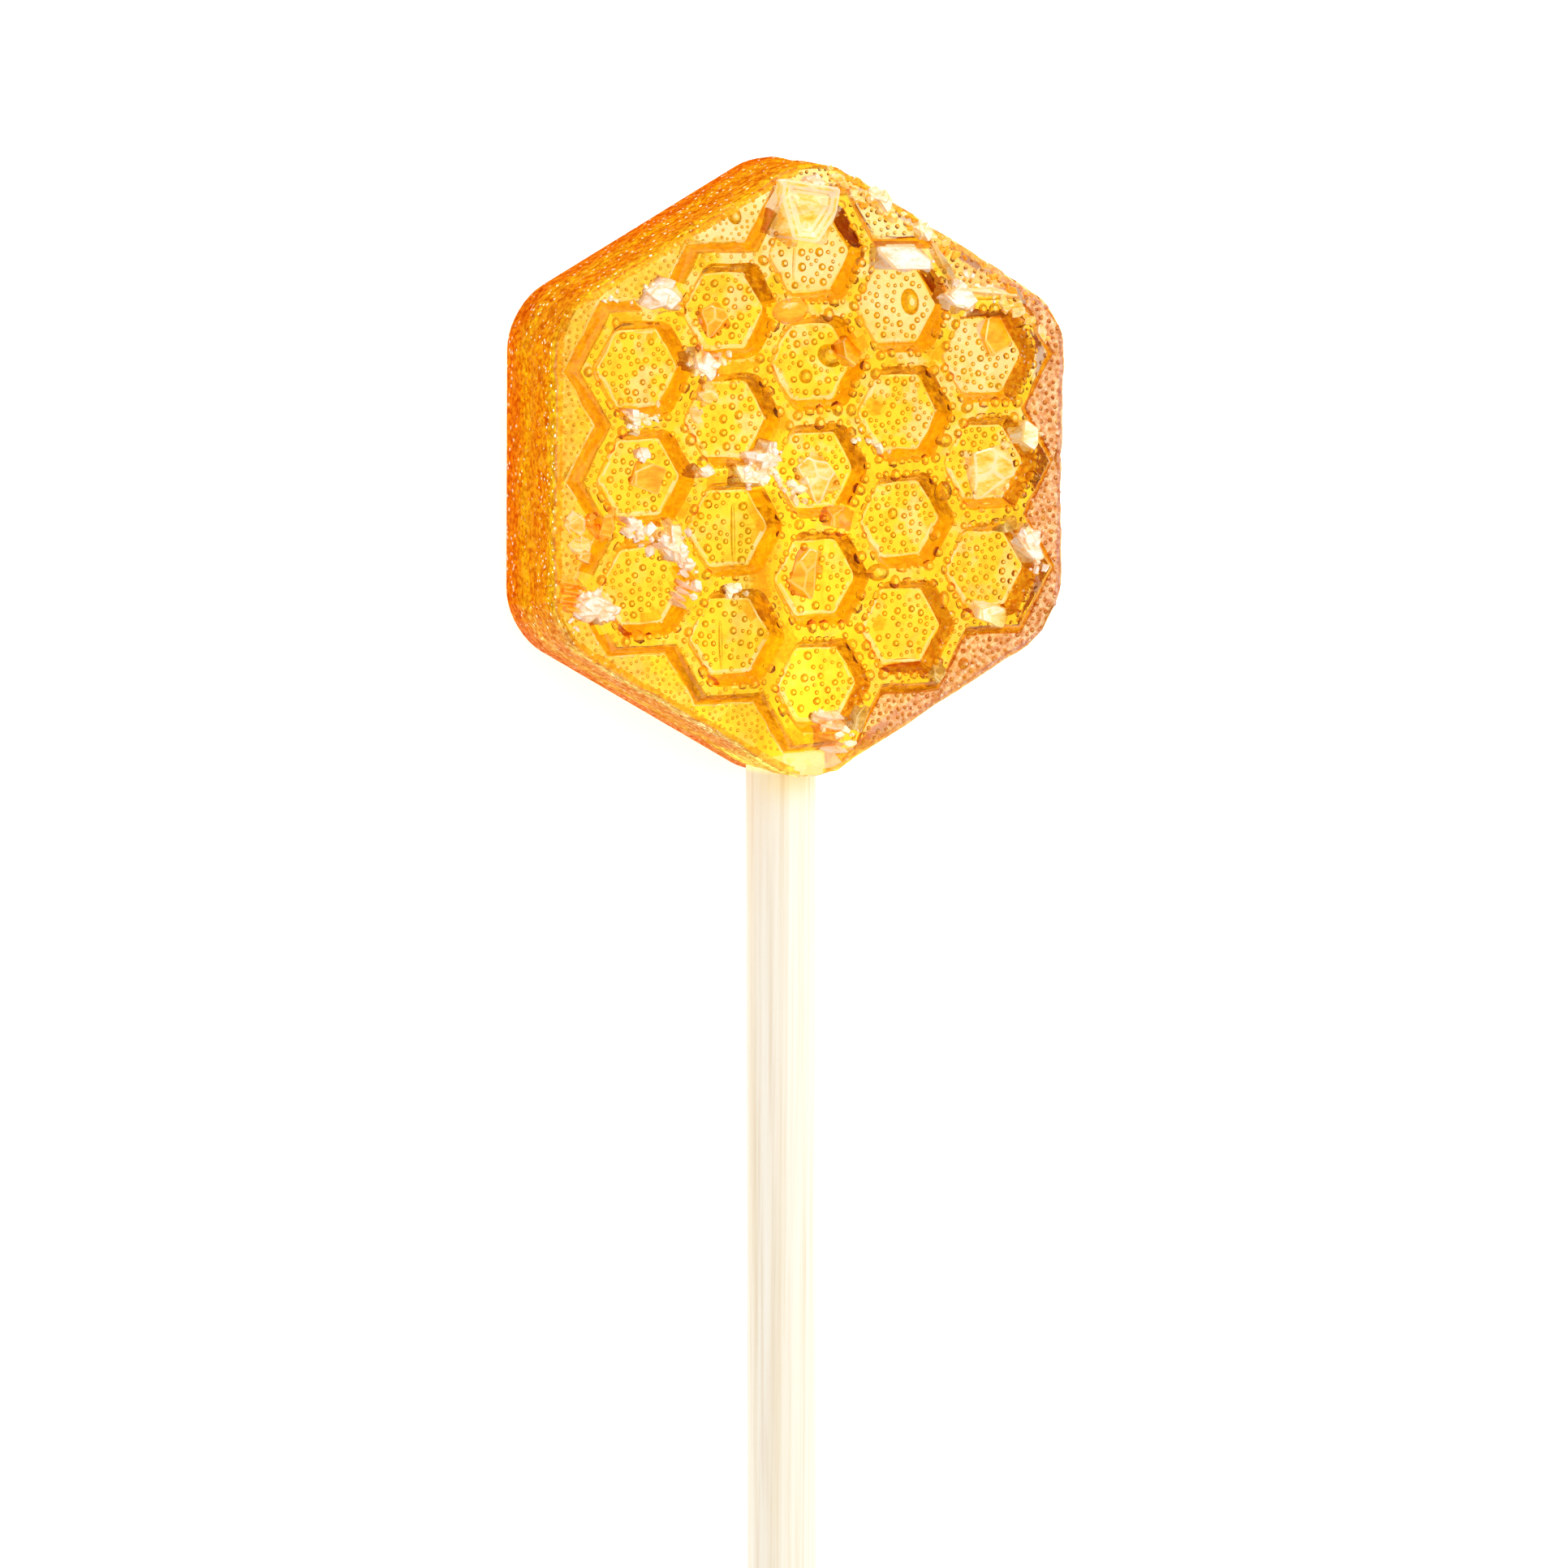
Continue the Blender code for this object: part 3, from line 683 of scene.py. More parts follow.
def plate():
    """The plain cast hexagon, with its face left open for the net."""
    s = sizes()
    bpy.ops.object.select_all(action="DESELECT")
    bpy.ops.mesh.primitive_cylinder_add(vertices=6, radius=s.across / math.sqrt(3), depth=s.depth,
                                        location=(0, 0, s.depth / 2))
    body = bpy.context.object
    fix_place(body)
    start_edit(body)
    pick(body, "EDGE", lambda e: abs(e.verts[0].co.z - e.verts[1].co.z) > s.depth / 2)
    bpy.ops.mesh.bevel(offset=s.corner * math.tan(math.radians(30)), segments=9, affect="EDGES")
    pick(body, "VERT", lambda v: v.co.z > s.depth / 2)
    narrow = 1 - 2 * s.draft / s.across
    bpy.ops.transform.resize(value=(narrow, narrow, 1))
    pick(body, "EDGE", lambda e: abs(e.verts[0].co.z - e.verts[1].co.z) < MM and e.calc_length() > 5 * MM)
    bpy.ops.mesh.subdivide(number_cuts=17)
    pick(body, "EDGE", lambda e: abs(e.verts[0].co.z - e.verts[1].co.z) > s.depth / 2)
    bpy.ops.mesh.subdivide(number_cuts=5)
    pick(body, "EDGE", lambda e: min(v.co.z for v in e.verts) > s.depth - 0.1 * MM)
    bpy.ops.mesh.bevel(offset=s.face_round, segments=4, affect="EDGES")
    pick(body, "EDGE", lambda e: max(v.co.z for v in e.verts) < 0.1 * MM)
    bpy.ops.mesh.bevel(offset=s.back_round, segments=3, affect="EDGES")
    pick(body, "FACE", lambda f: len(f.verts) > 20 and f.calc_center_median().z > s.depth / 2)
    bpy.ops.mesh.delete(type="ONLY_FACE")
    end_edit()
    return body


def bite_tool():
    """A rough lump of radius 1, to bite with."""
    bpy.ops.object.select_all(action="DESELECT")
    bpy.ops.mesh.primitive_ico_sphere_add(subdivisions=2, radius=1.0, location=(0, 0, 0))
    piece = bpy.context.object
    fix_place(piece)
    cut_slanted(piece, (0.55, 0.2, 0.3), (0.9, 0.3, 0.3))
    cut_slanted(piece, (-0.3, -0.6, 0.2), (-0.4, -0.8, 0.3))
    return piece


def rim_bites(rng):
    """Rough lumps along the rim of the face, to be taken out of it."""
    s = sizes()
    places, taken = [], Spread()
    for edge, count, widest in RIM_BITES:
        out = Matrix.Rotation(math.radians(120) + edge * SIXTH, 2) @ Vector((1, 0))
        along = Vector((-out.y, out.x))
        middle = out * (s.across / 2 - s.draft)
        for k in range(count):
            size = widest * rng.uniform(0.4, 1.0) * MM / 2
            spot = middle + along * rng.uniform(-0.42, 0.42) * s.across / math.sqrt(3) + out * size * 0.45
            if taken.add(*spot, 2.3 * size, 2.3 * size, gap=0.0):
                spin = Matrix.Rotation(rng.uniform(0, 6), 4, "Z") @ Matrix.Rotation(rng.uniform(0, 6), 4, "X")
                scale = Matrix.Diagonal((size, size, size * rng.uniform(0.8, 1.6), 1))
                height = s.depth + rng.uniform(-0.3, 0.1) * MM
                places.append(Matrix.Translation((*spot, height)) @ spin @ scale)
    return copies_at(bite_tool(), places, "bites")


def candy_body():
    """Plate and net joined into one closed body, slightly uneven as a cast one is."""
    s = sizes()
    body = name_piece(join(plate(), honeycomb_net()), "candy")
    start_edit(body)
    pick(body, "EDGE", lambda e: e.is_boundary)
    bpy.ops.mesh.fill(use_beauty=True)
    bpy.ops.mesh.select_all(action="SELECT")
    bpy.ops.mesh.normals_make_consistent(inside=False)
    end_edit()
    above = body.vertex_groups.new(name=ABOVE_BACK)
    above.add([v.index for v in body.data.vertices if v.co.z > 0.5 * MM], 1.0, "REPLACE")
    displace(body, "sideways", 1.7 * MM, 2.2 * s.waver, "X")
    displace(body, "up the face", 1.5 * MM, 2.2 * s.waver, "Y")
    displace(body, "slow waver", 3.5 * MM, s.waver)
    displace(body, "quick waver", 0.9 * MM, 0.5 * s.waver)
    boolean(body, "DIFFERENCE", rim_bites(random.Random(s.seed + 2)))
    return body


def dome(segments, rings):
    """A blister 2 wide and 0.6 high on the ground, with its root below it."""
    bpy.ops.object.select_all(action="DESELECT")
    bpy.ops.mesh.primitive_uv_sphere_add(segments=segments, ring_count=rings, radius=1.13,
                                         location=(0, 0, -0.53))
    piece = bpy.context.object
    fix_place(piece)
    start_edit(piece)
    bpy.ops.mesh.select_all(action="SELECT")
    bpy.ops.mesh.bisect(plane_co=(0, 0, -0.35), plane_no=(0, 0, 1), use_fill=True, clear_inner=True)
    end_edit()
    return piece


def copies_at(template, places, name):
    """One piece with a copy of the template at each place; a place is a 4 by 4 matrix."""
    mesh = template.data
    corners = np.empty(len(mesh.vertices) * 3)
    mesh.vertices.foreach_get("co", corners)
    corners = np.c_[corners.reshape(-1, 3), np.ones(len(mesh.vertices))]
    faces = [list(face.vertices) for face in mesh.polygons]
    spots = np.array([[list(row) for row in place] for place in places])
    all_corners = np.einsum("pij,vj->pvi", spots, corners)[:, :, :3].reshape(-1, 3)
    all_faces = [[i + k * len(corners) for i in face] for k in range(len(places)) for face in faces]
    broken_edges = [face.material_index for face in mesh.polygons]
    bpy.data.objects.remove(template, do_unlink=True)
    shape = bpy.data.meshes.new(name)
    shape.from_pydata(all_corners.tolist(), [], all_faces)
    if any(broken_edges):
        shape.attributes.new("edge", "FLOAT", "FACE").data.foreach_set("value", broken_edges * len(places))
    piece = bpy.data.objects.new(name, shape)
    bpy.context.scene.collection.objects.link(piece)
    return piece


def cell_distance(x, y):
    """How far the point lies from the nearest cell's middle, square to that cell's nearest side."""
    nearest = math.inf
    for centre in cell_centres():
        flat = Matrix.Rotation(-NET_TURN, 2) @ (Vector((x, y)) - centre)
        nearest = min(nearest, max(abs(flat.y), abs(flat.x) * math.cos(SIXTH / 2) + abs(flat.y) / 2))
    return nearest


def rim_distance(x, y):
    """How far the point lies inside the candy's side."""
    reach = max(abs(x), abs(x) / 2 + abs(y) * math.cos(SIXTH / 2))
    return sizes().across / 2 - sizes().draft - reach


def on_chip(x, y):
    """Whether the point lies on a chip, a shard or a glaze."""
    for cx, cy, length, width, turn in OVALS:
        flat = Matrix.Rotation(-math.radians(turn), 2) @ Vector((x - cx * MM, y - cy * MM))
        if (flat.x / (length / 2)) ** 2 + (flat.y / (width / 2)) ** 2 < (1.1 * MM) ** 2:
            return True
    return False


def over_stick(x, y):
    """Whether the point lies over the stick's end in the candy, where few bubbles show."""
    return abs(x + 0.1 * MM) < 2.2 * MM and y < -2 * MM


class Spread:
    """Bubbles laid out so that no two touch."""

    def __init__(self):
        self.grid = {}
        self.bubbles = []

    def rounds(self, x, y, length, width, turn):
        """The circles that cover a bubble."""
        small, large = sorted((length, width))
        if width > length:
            turn += math.pi / 2
        count = math.ceil(large / small * 1.3) if large > 1.15 * small else 1
        reach = (large - small) / 2
        for k in range(count):
            off = reach * (2 * k / (count - 1) - 1) if count > 1 else 0
            yield x + off * math.cos(turn), y + off * math.sin(turn), small / 2 if count > 1 else large / 2

    def add(self, x, y, length, width, turn=0.0, *, gap):
        """Takes the bubble in, unless another lies nearer than the gap."""
        spots = list(self.rounds(x, y, length, width, turn))
        for spot_x, spot_y, radius in spots:
            column, row = int(spot_x // MM), int(spot_y // MM)
            span = 1 + int((radius + 0.8 * MM) // MM)
            for i in range(column - span, column + span + 1):
                for j in range(row - span, row + span + 1):
                    for other_x, other_y, other_radius in self.grid.get((i, j), ()):
                        if math.hypot(spot_x - other_x, spot_y - other_y) < radius + other_radius + gap:
                            return False
        for spot_x, spot_y, radius in spots:
            self.grid.setdefault((int(spot_x // MM), int(spot_y // MM)), []).append((spot_x, spot_y, radius))
        self.bubbles.append((x, y, length, width, turn))
        return True


def face_bubbles(rng):
    """Blisters, then bubbles along the ribs' edges, then the fine ones of floors, ribs and margins."""
    s = sizes()
    large, middle, small = Spread(), [], []
    for x, y, length, width, turn in BLISTERS:
        large.add(x * MM, y * MM, length * MM, width * MM, math.radians(turn), gap=-MM)
    count = len(large.bubbles)
    edge = s.cell / 2 + s.rib_slope
    for centre in cell_centres():
        for side in range(6):
            out = Matrix.Rotation(NET_TURN + side * SIXTH + SIXTH / 2, 2) @ Vector((1, 0))
            along = Vector((-out.y, out.x))
            step = -edge * math.tan(SIXTH / 2)
            while step < edge * math.tan(SIXTH / 2):
                wide = rng.uniform(0.4, 0.95) * MM
                step += wide * rng.uniform(0.52, 0.7)
                spot = centre + out * (edge - rng.uniform(-0.06, 0.12) * MM) + along * step
                keen = 0.95 if spot.x > -3 * MM else 0.5
                if rng.random() < keen and not on_chip(*spot):
                    large.add(*spot, wide * rng.uniform(0.85, 1.3), wide, math.atan2(out.y, out.x), gap=0.0)
                step += wide / 2
    edge_count = len(large.bubbles)
    half = s.pitch / 2
    for attempt in range(90000):
        x, y = rng.uniform(-s.across / 2, s.across / 2), rng.uniform(-23 * MM, 23 * MM)
        if rim_distance(x, y) < 0.35 * MM or y < -20.3 * MM:
            continue
        off = cell_distance(x, y)
        # In turn: floors, ribs' inner sides, ribs' tops, the net's outer side, margins
        if off < s.cell / 2 - 0.3 * MM:
            wide, fine = s.bubble * rng.uniform(0.6, 1.5 if -10 * MM < x < MM else 1.25), False
        elif off < s.cell / 2 + s.rib_slope:
            if rng.random() > 0.08:
                continue
            wide, fine = rng.uniform(0.2, 0.32) * MM, True
        elif off < half + 0.15 * MM:
            wide, fine = rng.uniform(0.3, 0.46) * MM, True
        elif off < half + 1.05 * MM:
            continue
        else:
            wide, fine = (rng.uniform(0.3, 0.46) if x > 3 * MM else rng.uniform(0.25, 0.34)) * MM, True
        if on_chip(x, y) or (over_stick(x, y) and rng.random() < 0.8):
            continue
        long, turn = wide * rng.uniform(0.9, 1.15), rng.uniform(0, 3)
        if large.add(x, y, wide, long, turn, gap=s.bubble_gap):
            (small if fine else middle).append(large.bubbles[-1])
    return large.bubbles[:count], large.bubbles[count:edge_count] + middle, small


def on_skin(tree, start, heading, length, width, turn):
    """Where a bubble sits: the skin met by a line from the start, facing out of it."""
    spot, normal = tree.ray_cast(start, heading)[:2]
    if spot is None:
        return None
    sideways = Vector((math.cos(turn), math.sin(turn), 0))
    sideways = (sideways - normal * sideways.dot(normal)).normalized()
    across = normal.cross(sideways)
    tall = min(length, width) / 2
    seat = Matrix((sideways * length / 2, across * width / 2, normal * tall)).transposed().to_4x4()
    return Matrix.Translation(spot) @ seat


def bubbles(body):
    """Every bubble on the skin as closed domes, rooted in it."""
    s = sizes()
    rng = random.Random(s.seed)
    tree = BVHTree.FromObject(body, bpy.context.evaluated_depsgraph_get())
    down = Vector((0, 0, -1))
    pieces = []
    for template, layout in zip((dome(16, 12), dome(8, 8), dome(6, 5)), face_bubbles(rng)):
        places = [on_skin(tree, Vector((x, y, 0.02)), down, length, width, turn)
                  for x, y, length, width, turn in layout]
        pieces.append(copies_at(template, [place for place in places if place], "domes"))
    # Fine ones on the candy's sides, apart from where the stick comes out
    walls = Spread()
    for attempt in range(420):
        angle, height = rng.uniform(0, 2 * math.pi), rng.uniform(0.9, 8.6) * MM
        if height < 6.6 * MM and abs(angle - 1.5 * math.pi) < 0.35:
            continue
        wide = rng.uniform(0.14, 0.3) * MM
        walls.add(angle * s.across / 2, height, wide, wide * rng.uniform(1.0, 1.8), gap=0.1 * MM)
    places = []
    for run, height, length, width, turn in walls.bubbles:
        angle = run / (s.across / 2)
        heading = Vector((-math.cos(angle), -math.sin(angle), 0))
        start = Vector((0, 0, height)) - heading * 0.03
        places.append(on_skin(tree, start, heading, length, width, angle + math.pi / 2))
    pieces.append(copies_at(dome(6, 5), [place for place in places if place], "domes"))
    return join(*pieces)


# Colours laid over the skin, one after another. Those of the slopes and rings are painted shade, and the
# sides' tints by facing are painted shade and light
TINTS = {
    "face": (1.0, 0.78, 0.40),
    "left margin": (1.0, 0.66, 0.08),
    "glaze": (1.0, 0.43, 0.02),
    "peach margin": (1.0, 0.60, 0.29),
    # Painted shade on the ribs' slopes, darker where they face down and to the left, lighter on the far right
    "slope": (0.75, 0.27, 0.012),
    "dark slope": (0.20, 0.04, 0.001),
    "bright slope": (1.0, 0.42, 0.012),
    # Painted shade round the bubbles: dark rings, darker still on their lower right
    "ring": (0.36, 0.18, 0.008),
    "shaded ring": (0.14, 0.05, 0.002),
    "peach ring": (0.74, 0.24, 0.04),
    "shaded peach ring": (0.40, 0.11, 0.02),
    "wall": (0.86, 0.245, 0.002),
    # Painted shade and light on the sides by which way they face: darker on the upper left, paler on the
    # lower and right sides
    "upper left wall": (0.72, 0.185, 0.0015),
    "lower wall": (0.92, 0.36, 0.11),
    "right wall": (1.0, 0.72, 0.24),
    "rim": (1.0, 0.50, 0.03),
    "right rim": (0.78, 0.42, 0.30),
    "collar": (1.0, 1.0, 0.9),
    "collar side": (1.0, 0.76, 0.14),
}

# Bands along a rib, as distances from its middle line, below 0 inside a cell
INNER_SIDE = (-1.25 * MM, -0.35 * MM)
OUTER_SIDE = (0.3 * MM, 0.95 * MM)
OUTER_FOOT = (0.84 * MM, 1.12 * MM)
CREST = (-0.6 * MM, 0.6 * MM)
FLOOR_EDGE = -1.2 * MM
INNER_FOOT = -1.36 * MM

# Where the pale collar over the stick's end sets in, down the face, and where it is full
COLLAR = (-20.2 * MM, -21.0 * MM)


def step(low, high, value):
    """Rises smoothly from 0 at the low value to 1 at the high one."""
    t = np.clip((value - low) / (high - low), 0, 1)
    return t * t * (3 - 2 * t)


def towards(degrees, low, high, angle):
    """1 where the angle points that way, fading out as its cosine falls from high to low."""
    return step(low, high, np.cos(angle - math.radians(degrees)))


def between(band, value):
    return (value > band[0]) * (value < band[1])


class Skin:
    """The candy's faces as arrays: where each lies, how it leans, what it is part of and its tint."""

    def __init__(self, mesh):
        s = sizes()
        self.mesh = mesh
        normals = self.read("normal")
        self.x, self.y, self.z = self.read("center").T
        self.lean = np.hypot(normals[:, 0], normals[:, 1])
        self.facing = np.arctan2(normals[:, 1], normals[:, 0])
        self.way = np.arctan2(self.y, self.x)
        reach = np.maximum(abs(self.x), abs(self.x) / 2 + abs(self.y) * math.cos(SIXTH / 2))
        self.inside = s.across / 2 - s.draft - reach
        self.off = outside_net(self.x, self.y)
        self.top = 1.0 * ((self.z > s.depth - 0.5 * MM) & (self.inside > 0.25 * MM))
        steep = step(0.14, 0.55, self.lean) * self.top * (1.0 - covered(self.x, self.y, 1.2))
        on_rib = between(INNER_SIDE, self.off) + between(OUTER_SIDE, self.off)
        self.slope, self.ring = steep * on_rib, steep * (1 - on_rib)
        self.right = towards(-15, 0.15, 0.7, self.way) * step(-20.5 * MM, -17.5 * MM, self.y)
        self.margin = self.top * step(0.5 * MM, 1.0 * MM, self.off)
        self.peach = self.right * self.margin
        self.wall = step(0.5, 0.9, self.lean) * (self.inside < 1.3 * MM) * (self.z < s.depth - 0.1 * MM)
        self.rim = ((self.lean > 0.1) * (self.inside < 0.6 * MM) * (self.z > s.depth - 0.6 * MM)
                    * (1 - self.wall))
        self.glaze = glazed(self.x, self.y)
        self.tint = np.ones((len(mesh.polygons), 3))

    def read(self, name):
        values = np.empty(len(self.mesh.polygons) * 3)
        self.mesh.polygons.foreach_get(name, values)
        return values.reshape(-1, 3)

    def lay(self, name, share):
        """Lays a tint over the skin, as much of it as each face's share says."""
        self.tint = self.tint + (np.array(TINTS[name]) - self.tint) * share[:, None]

    def keep(self, name, kind, socket, values):
        """Stores a value for each face, for the material to read."""
        self.mesh.attributes.new(name, kind, "FACE").data.foreach_set(socket, values)


def paint_face(skin):
    """Margins, glazes, the ribs' slopes and the rings round the bubbles, these two in painted shade; gives
    the frost on them.
    """
    # Painted shade, darker on slopes facing down and to the left, less on the left and by the chips
    dark = towards(-122, 0.0, 0.85, skin.facing) * (0.3 + 0.7 * step(-14 * MM, -7 * MM, skin.x))
    dark = dark * (1 - 0.75 * covered(skin.x, skin.y, 1.9))
    # Lighter painted shade on the far right's slopes that face left
    far = step(9.5 * MM, 12.5 * MM, skin.x + 0.9 * np.maximum(-skin.y - 6 * MM, 0))
    far = far * towards(180, 0.3, 0.8, skin.facing)
    left = towards(165, 0.2, 0.8, skin.way) * skin.margin
    # Painted shade on each ring's lower right side
    shaded = towards(-50, 0.1, 0.9, skin.facing)
    skin.lay("face", skin.top * 0.4)
    skin.lay("left margin", left * step(3.2 * MM, 0.8 * MM, skin.inside) * 0.8)
    skin.lay("glaze", 0.9 * skin.glaze * skin.top)
    skin.lay("peach margin", 0.95 * skin.peach)
    skin.lay("slope", skin.slope)
    skin.lay("dark slope", skin.slope * dark * (1 - 0.6 * skin.margin) * (1 - far))
    skin.lay("bright slope", skin.slope * far)
    skin.lay("ring", skin.ring)
    skin.lay("shaded ring", skin.ring * shaded)
    skin.lay("peach ring", skin.ring * skin.peach)
    skin.lay("shaded peach ring", skin.ring * skin.peach * shaded)
    frost = 0.8 * skin.peach + 0.35 * left * step(2.2 * MM, 0.5 * MM, skin.inside)
    return np.maximum(frost, 0.85 * skin.slope * far)


def paint_sides(skin):
    """The candy's sides, with painted shade on the upper left and painted light on the lower and right ones,
    and the rim of its face; gives the frost on them.
    """
    skin.lay("wall", skin.wall)
    # Painted shade and light by which way each side faces
    skin.lay("upper left wall", skin.wall * towards(120, 0.5, 0.9, skin.facing))
    skin.lay("lower wall", skin.wall * step(-0.2, -0.7, np.sin(skin.facing)))
    skin.lay("right wall", skin.wall * towards(-10, 0.15, 0.45, skin.facing))
    skin.lay("rim", skin.rim)
    skin.lay("right rim", skin.rim * towards(-10, 0.2, 0.7, skin.way))
    return np.maximum(skin.wall, 0.6 * skin.rim)


def painted_highlights(skin):
    """Painted highlights as a creamy veil over the face: thicker towards the top right, and a line along each
    rib's foot.
    """
    s = sizes()
    below = np.sin(place_in_cell(skin.x, skin.y)) < -0.2
    inner = skin.top * (skin.off < FLOOR_EDGE) * (skin.off > INNER_FOOT - 0.1 * MM * below)
    foot = inner + (1 - skin.right) * skin.top * between(OUTER_FOOT, skin.off)
    crest = skin.top * between(CREST, skin.off) * (skin.z > s.depth + 0.7 * s.rib_height)
    up = skin.y + 0.45 * skin.x
    # Painted highlight, paler towards the top right
    pale = 0.16 + 0.34 * step(-8 * MM, 2 * MM, up) + 0.46 * step(8 * MM, 15 * MM, up)
    veil = pale * (1 - 0.25 * crest) * skin.top * (1 - 0.8 * skin.glaze) * (1 - skin.slope) * (1 - skin.ring)
    return np.maximum(veil, 0.9 * foot * (1 - skin.slope)) * (1 - skin.peach) * (1 - skin.rim)


def paint(body):
    """Colours the skin, face by face, and paints the pale collar over the end of the stick."""
    skin = Skin(body.data)
    frost = np.maximum(paint_face(skin), paint_sides(skin))
    veil = painted_highlights(skin)
    collar = step(*COLLAR, skin.y)
    flat = collar * skin.top * (1 - skin.rim)
    skin.lay("collar", flat)
    skin.lay("collar side", 0.9 * collar * np.maximum(skin.rim, skin.wall * (skin.z > 2.5 * MM)))
    # The pale collar joins the painted highlights in the veil
    veil = np.maximum(veil, 0.95 * flat)
    skin.keep("tint", "FLOAT_COLOR", "color", np.c_[np.clip(skin.tint, 0, 1), veil].ravel())
    skin.keep("frost", "FLOAT", "value", frost)


def oval_share(x, y, middle, length, width, turn):
    """How far each point lies from an oval's middle, as a share of the way to its edge."""
    turn = math.radians(turn)
    across, up = x - middle[0] * MM, y - middle[1] * MM
    along = across * math.cos(turn) + up * math.sin(turn)
    aside = up * math.cos(turn) - across * math.sin(turn)
    return np.hypot(along / (0.5 * length * MM), aside / (0.5 * width * MM))


def covered(x, y, reach):
    """1 for each point that lies on a chip, drawn out to the reach as a share of its size, else 0."""
    under = np.zeros(len(x))
    for finish, kind, cx, cy, length, width, tall, turn in CHIPS:
        under[oval_share(x, y, (cx, cy), length, width, turn) < reach] = 1
    return under


def glazed(x, y):
    """How much each point lies in an amber glaze, fading out towards its edge."""
    share = np.zeros(len(x))
    for cx, cy, length, width, turn in GLAZES:
        off = oval_share(x, y, (cx, cy), length, width, turn)
        share = np.maximum(share, np.clip((1.25 - off) / 0.4, 0, 1))
    return share


def place_in_cell(x, y):
    """Which way each point lies from the middle of its cell."""
    nearest, way = np.full(len(x), np.inf), np.zeros(len(x))
    for centre in cell_centres():
        far = np.hypot(x - centre.x, y - centre.y)
        way = np.where(far < nearest, np.arctan2(y - centre.y, x - centre.x), way)
        nearest = np.minimum(nearest, far)
    return way


def outside_net(x, y):
    """How far each point lies outside the nearest cell and the inner half of its ribs, below 0 within."""
    nearest = np.full(len(x), np.inf)
    turn = math.cos(NET_TURN), math.sin(NET_TURN)
    for centre in cell_centres():
        across, up = x - centre.x, y - centre.y
        flat_x, flat_y = across * turn[0] + up * turn[1], up * turn[0] - across * turn[1]
        off = np.maximum(abs(flat_y), abs(flat_x) * math.cos(SIXTH / 2) + abs(flat_y) / 2)
        nearest = np.minimum(nearest, off)
    return nearest - sizes().pitch / 2


class CANDY_OT_body(Operator):
    """Model the candy: plate, honeycomb net and the bubbles on its skin"""
    bl_idname = "candy.body"
    bl_label = "Candy"
    bl_options = {"REGISTER", "UNDO"}

    def execute(self, context):
        body = candy_body()
        boolean(body, "UNION", bubbles(body))
        paint(body)
        body.data.shade_smooth()
        body.data.set_sharp_from_angle(angle=math.radians(42))
        finish_piece(body, honey_material(), "candy_head")
        return {"FINISHED"}


def cut_slanted(piece, point, normal):
    """Cuts off what lies beyond a plane and closes the cut."""
    start_edit(piece)
    bpy.ops.mesh.select_all(action="SELECT")
    bpy.ops.mesh.bisect(plane_co=point, plane_no=normal, use_fill=True, clear_outer=True)
    end_edit()


# Planes that cut a block into a shard: a point on each, and the way its cut face looks
SHARD_CUTS = {
    "grain": (((0.1, 0.05, 0.86), (0.3, -0.2, 0.9)), ((0.4, 0, 0.5), (0.9, 0.3, 0.2)),
              ((-0.1, -0.42, 0.5), (-0.2, -0.9, 0.35))),
    "slab": (((0, 0, 0.93), (0.08, 0.05, 1)), ((0.42, 0.2, 0.5), (0.9, 0.5, 0.2)),
             ((-0.45, -0.2, 0.5), (-0.9, -0.35, 0.3))),
    "wedge": (((0.0, 0, 0.75), (0.55, 0.15, 1)), ((-0.4, 0.25, 0.5), (-0.6, 0.8, 0.3))),
    "needle": (((0, 0.1, 0.85), (0.05, 0.9, 0.8)), ((0, -0.15, 0.85), (-0.05, -0.9, 0.7)),
               ((0.25, 0, 0.6), (0.8, 0.5, 0.6)), ((-0.3, 0, 0.6), (-0.8, -0.6, 0.4))),
    "flake": (((0, 0, 0.96), (0.05, -0.06, 1)), ((0.37, -0.2, 0.93), (0.85, -0.4, 0.42)),
              ((-0.33, -0.2, 0.93), (-0.85, -0.42, 0.42))),
    "pane": (((0.1, 0.05, 0.95), (0.5, 0.1, 1)), ((-0.05, 0.1, 0.93), (-0.25, 0.5, 1)),
             ((0, -0.1, 0.95), (-0.1, -0.4, 1)), ((0.38, 0.3, 0.5), (0.8, 0.7, 0.25)),
             ((-0.42, 0.1, 0.5), (-0.9, 0.25, 0.2)), ((0.1, -0.44, 0.5), (0.3, -0.9, 0.3))),
}


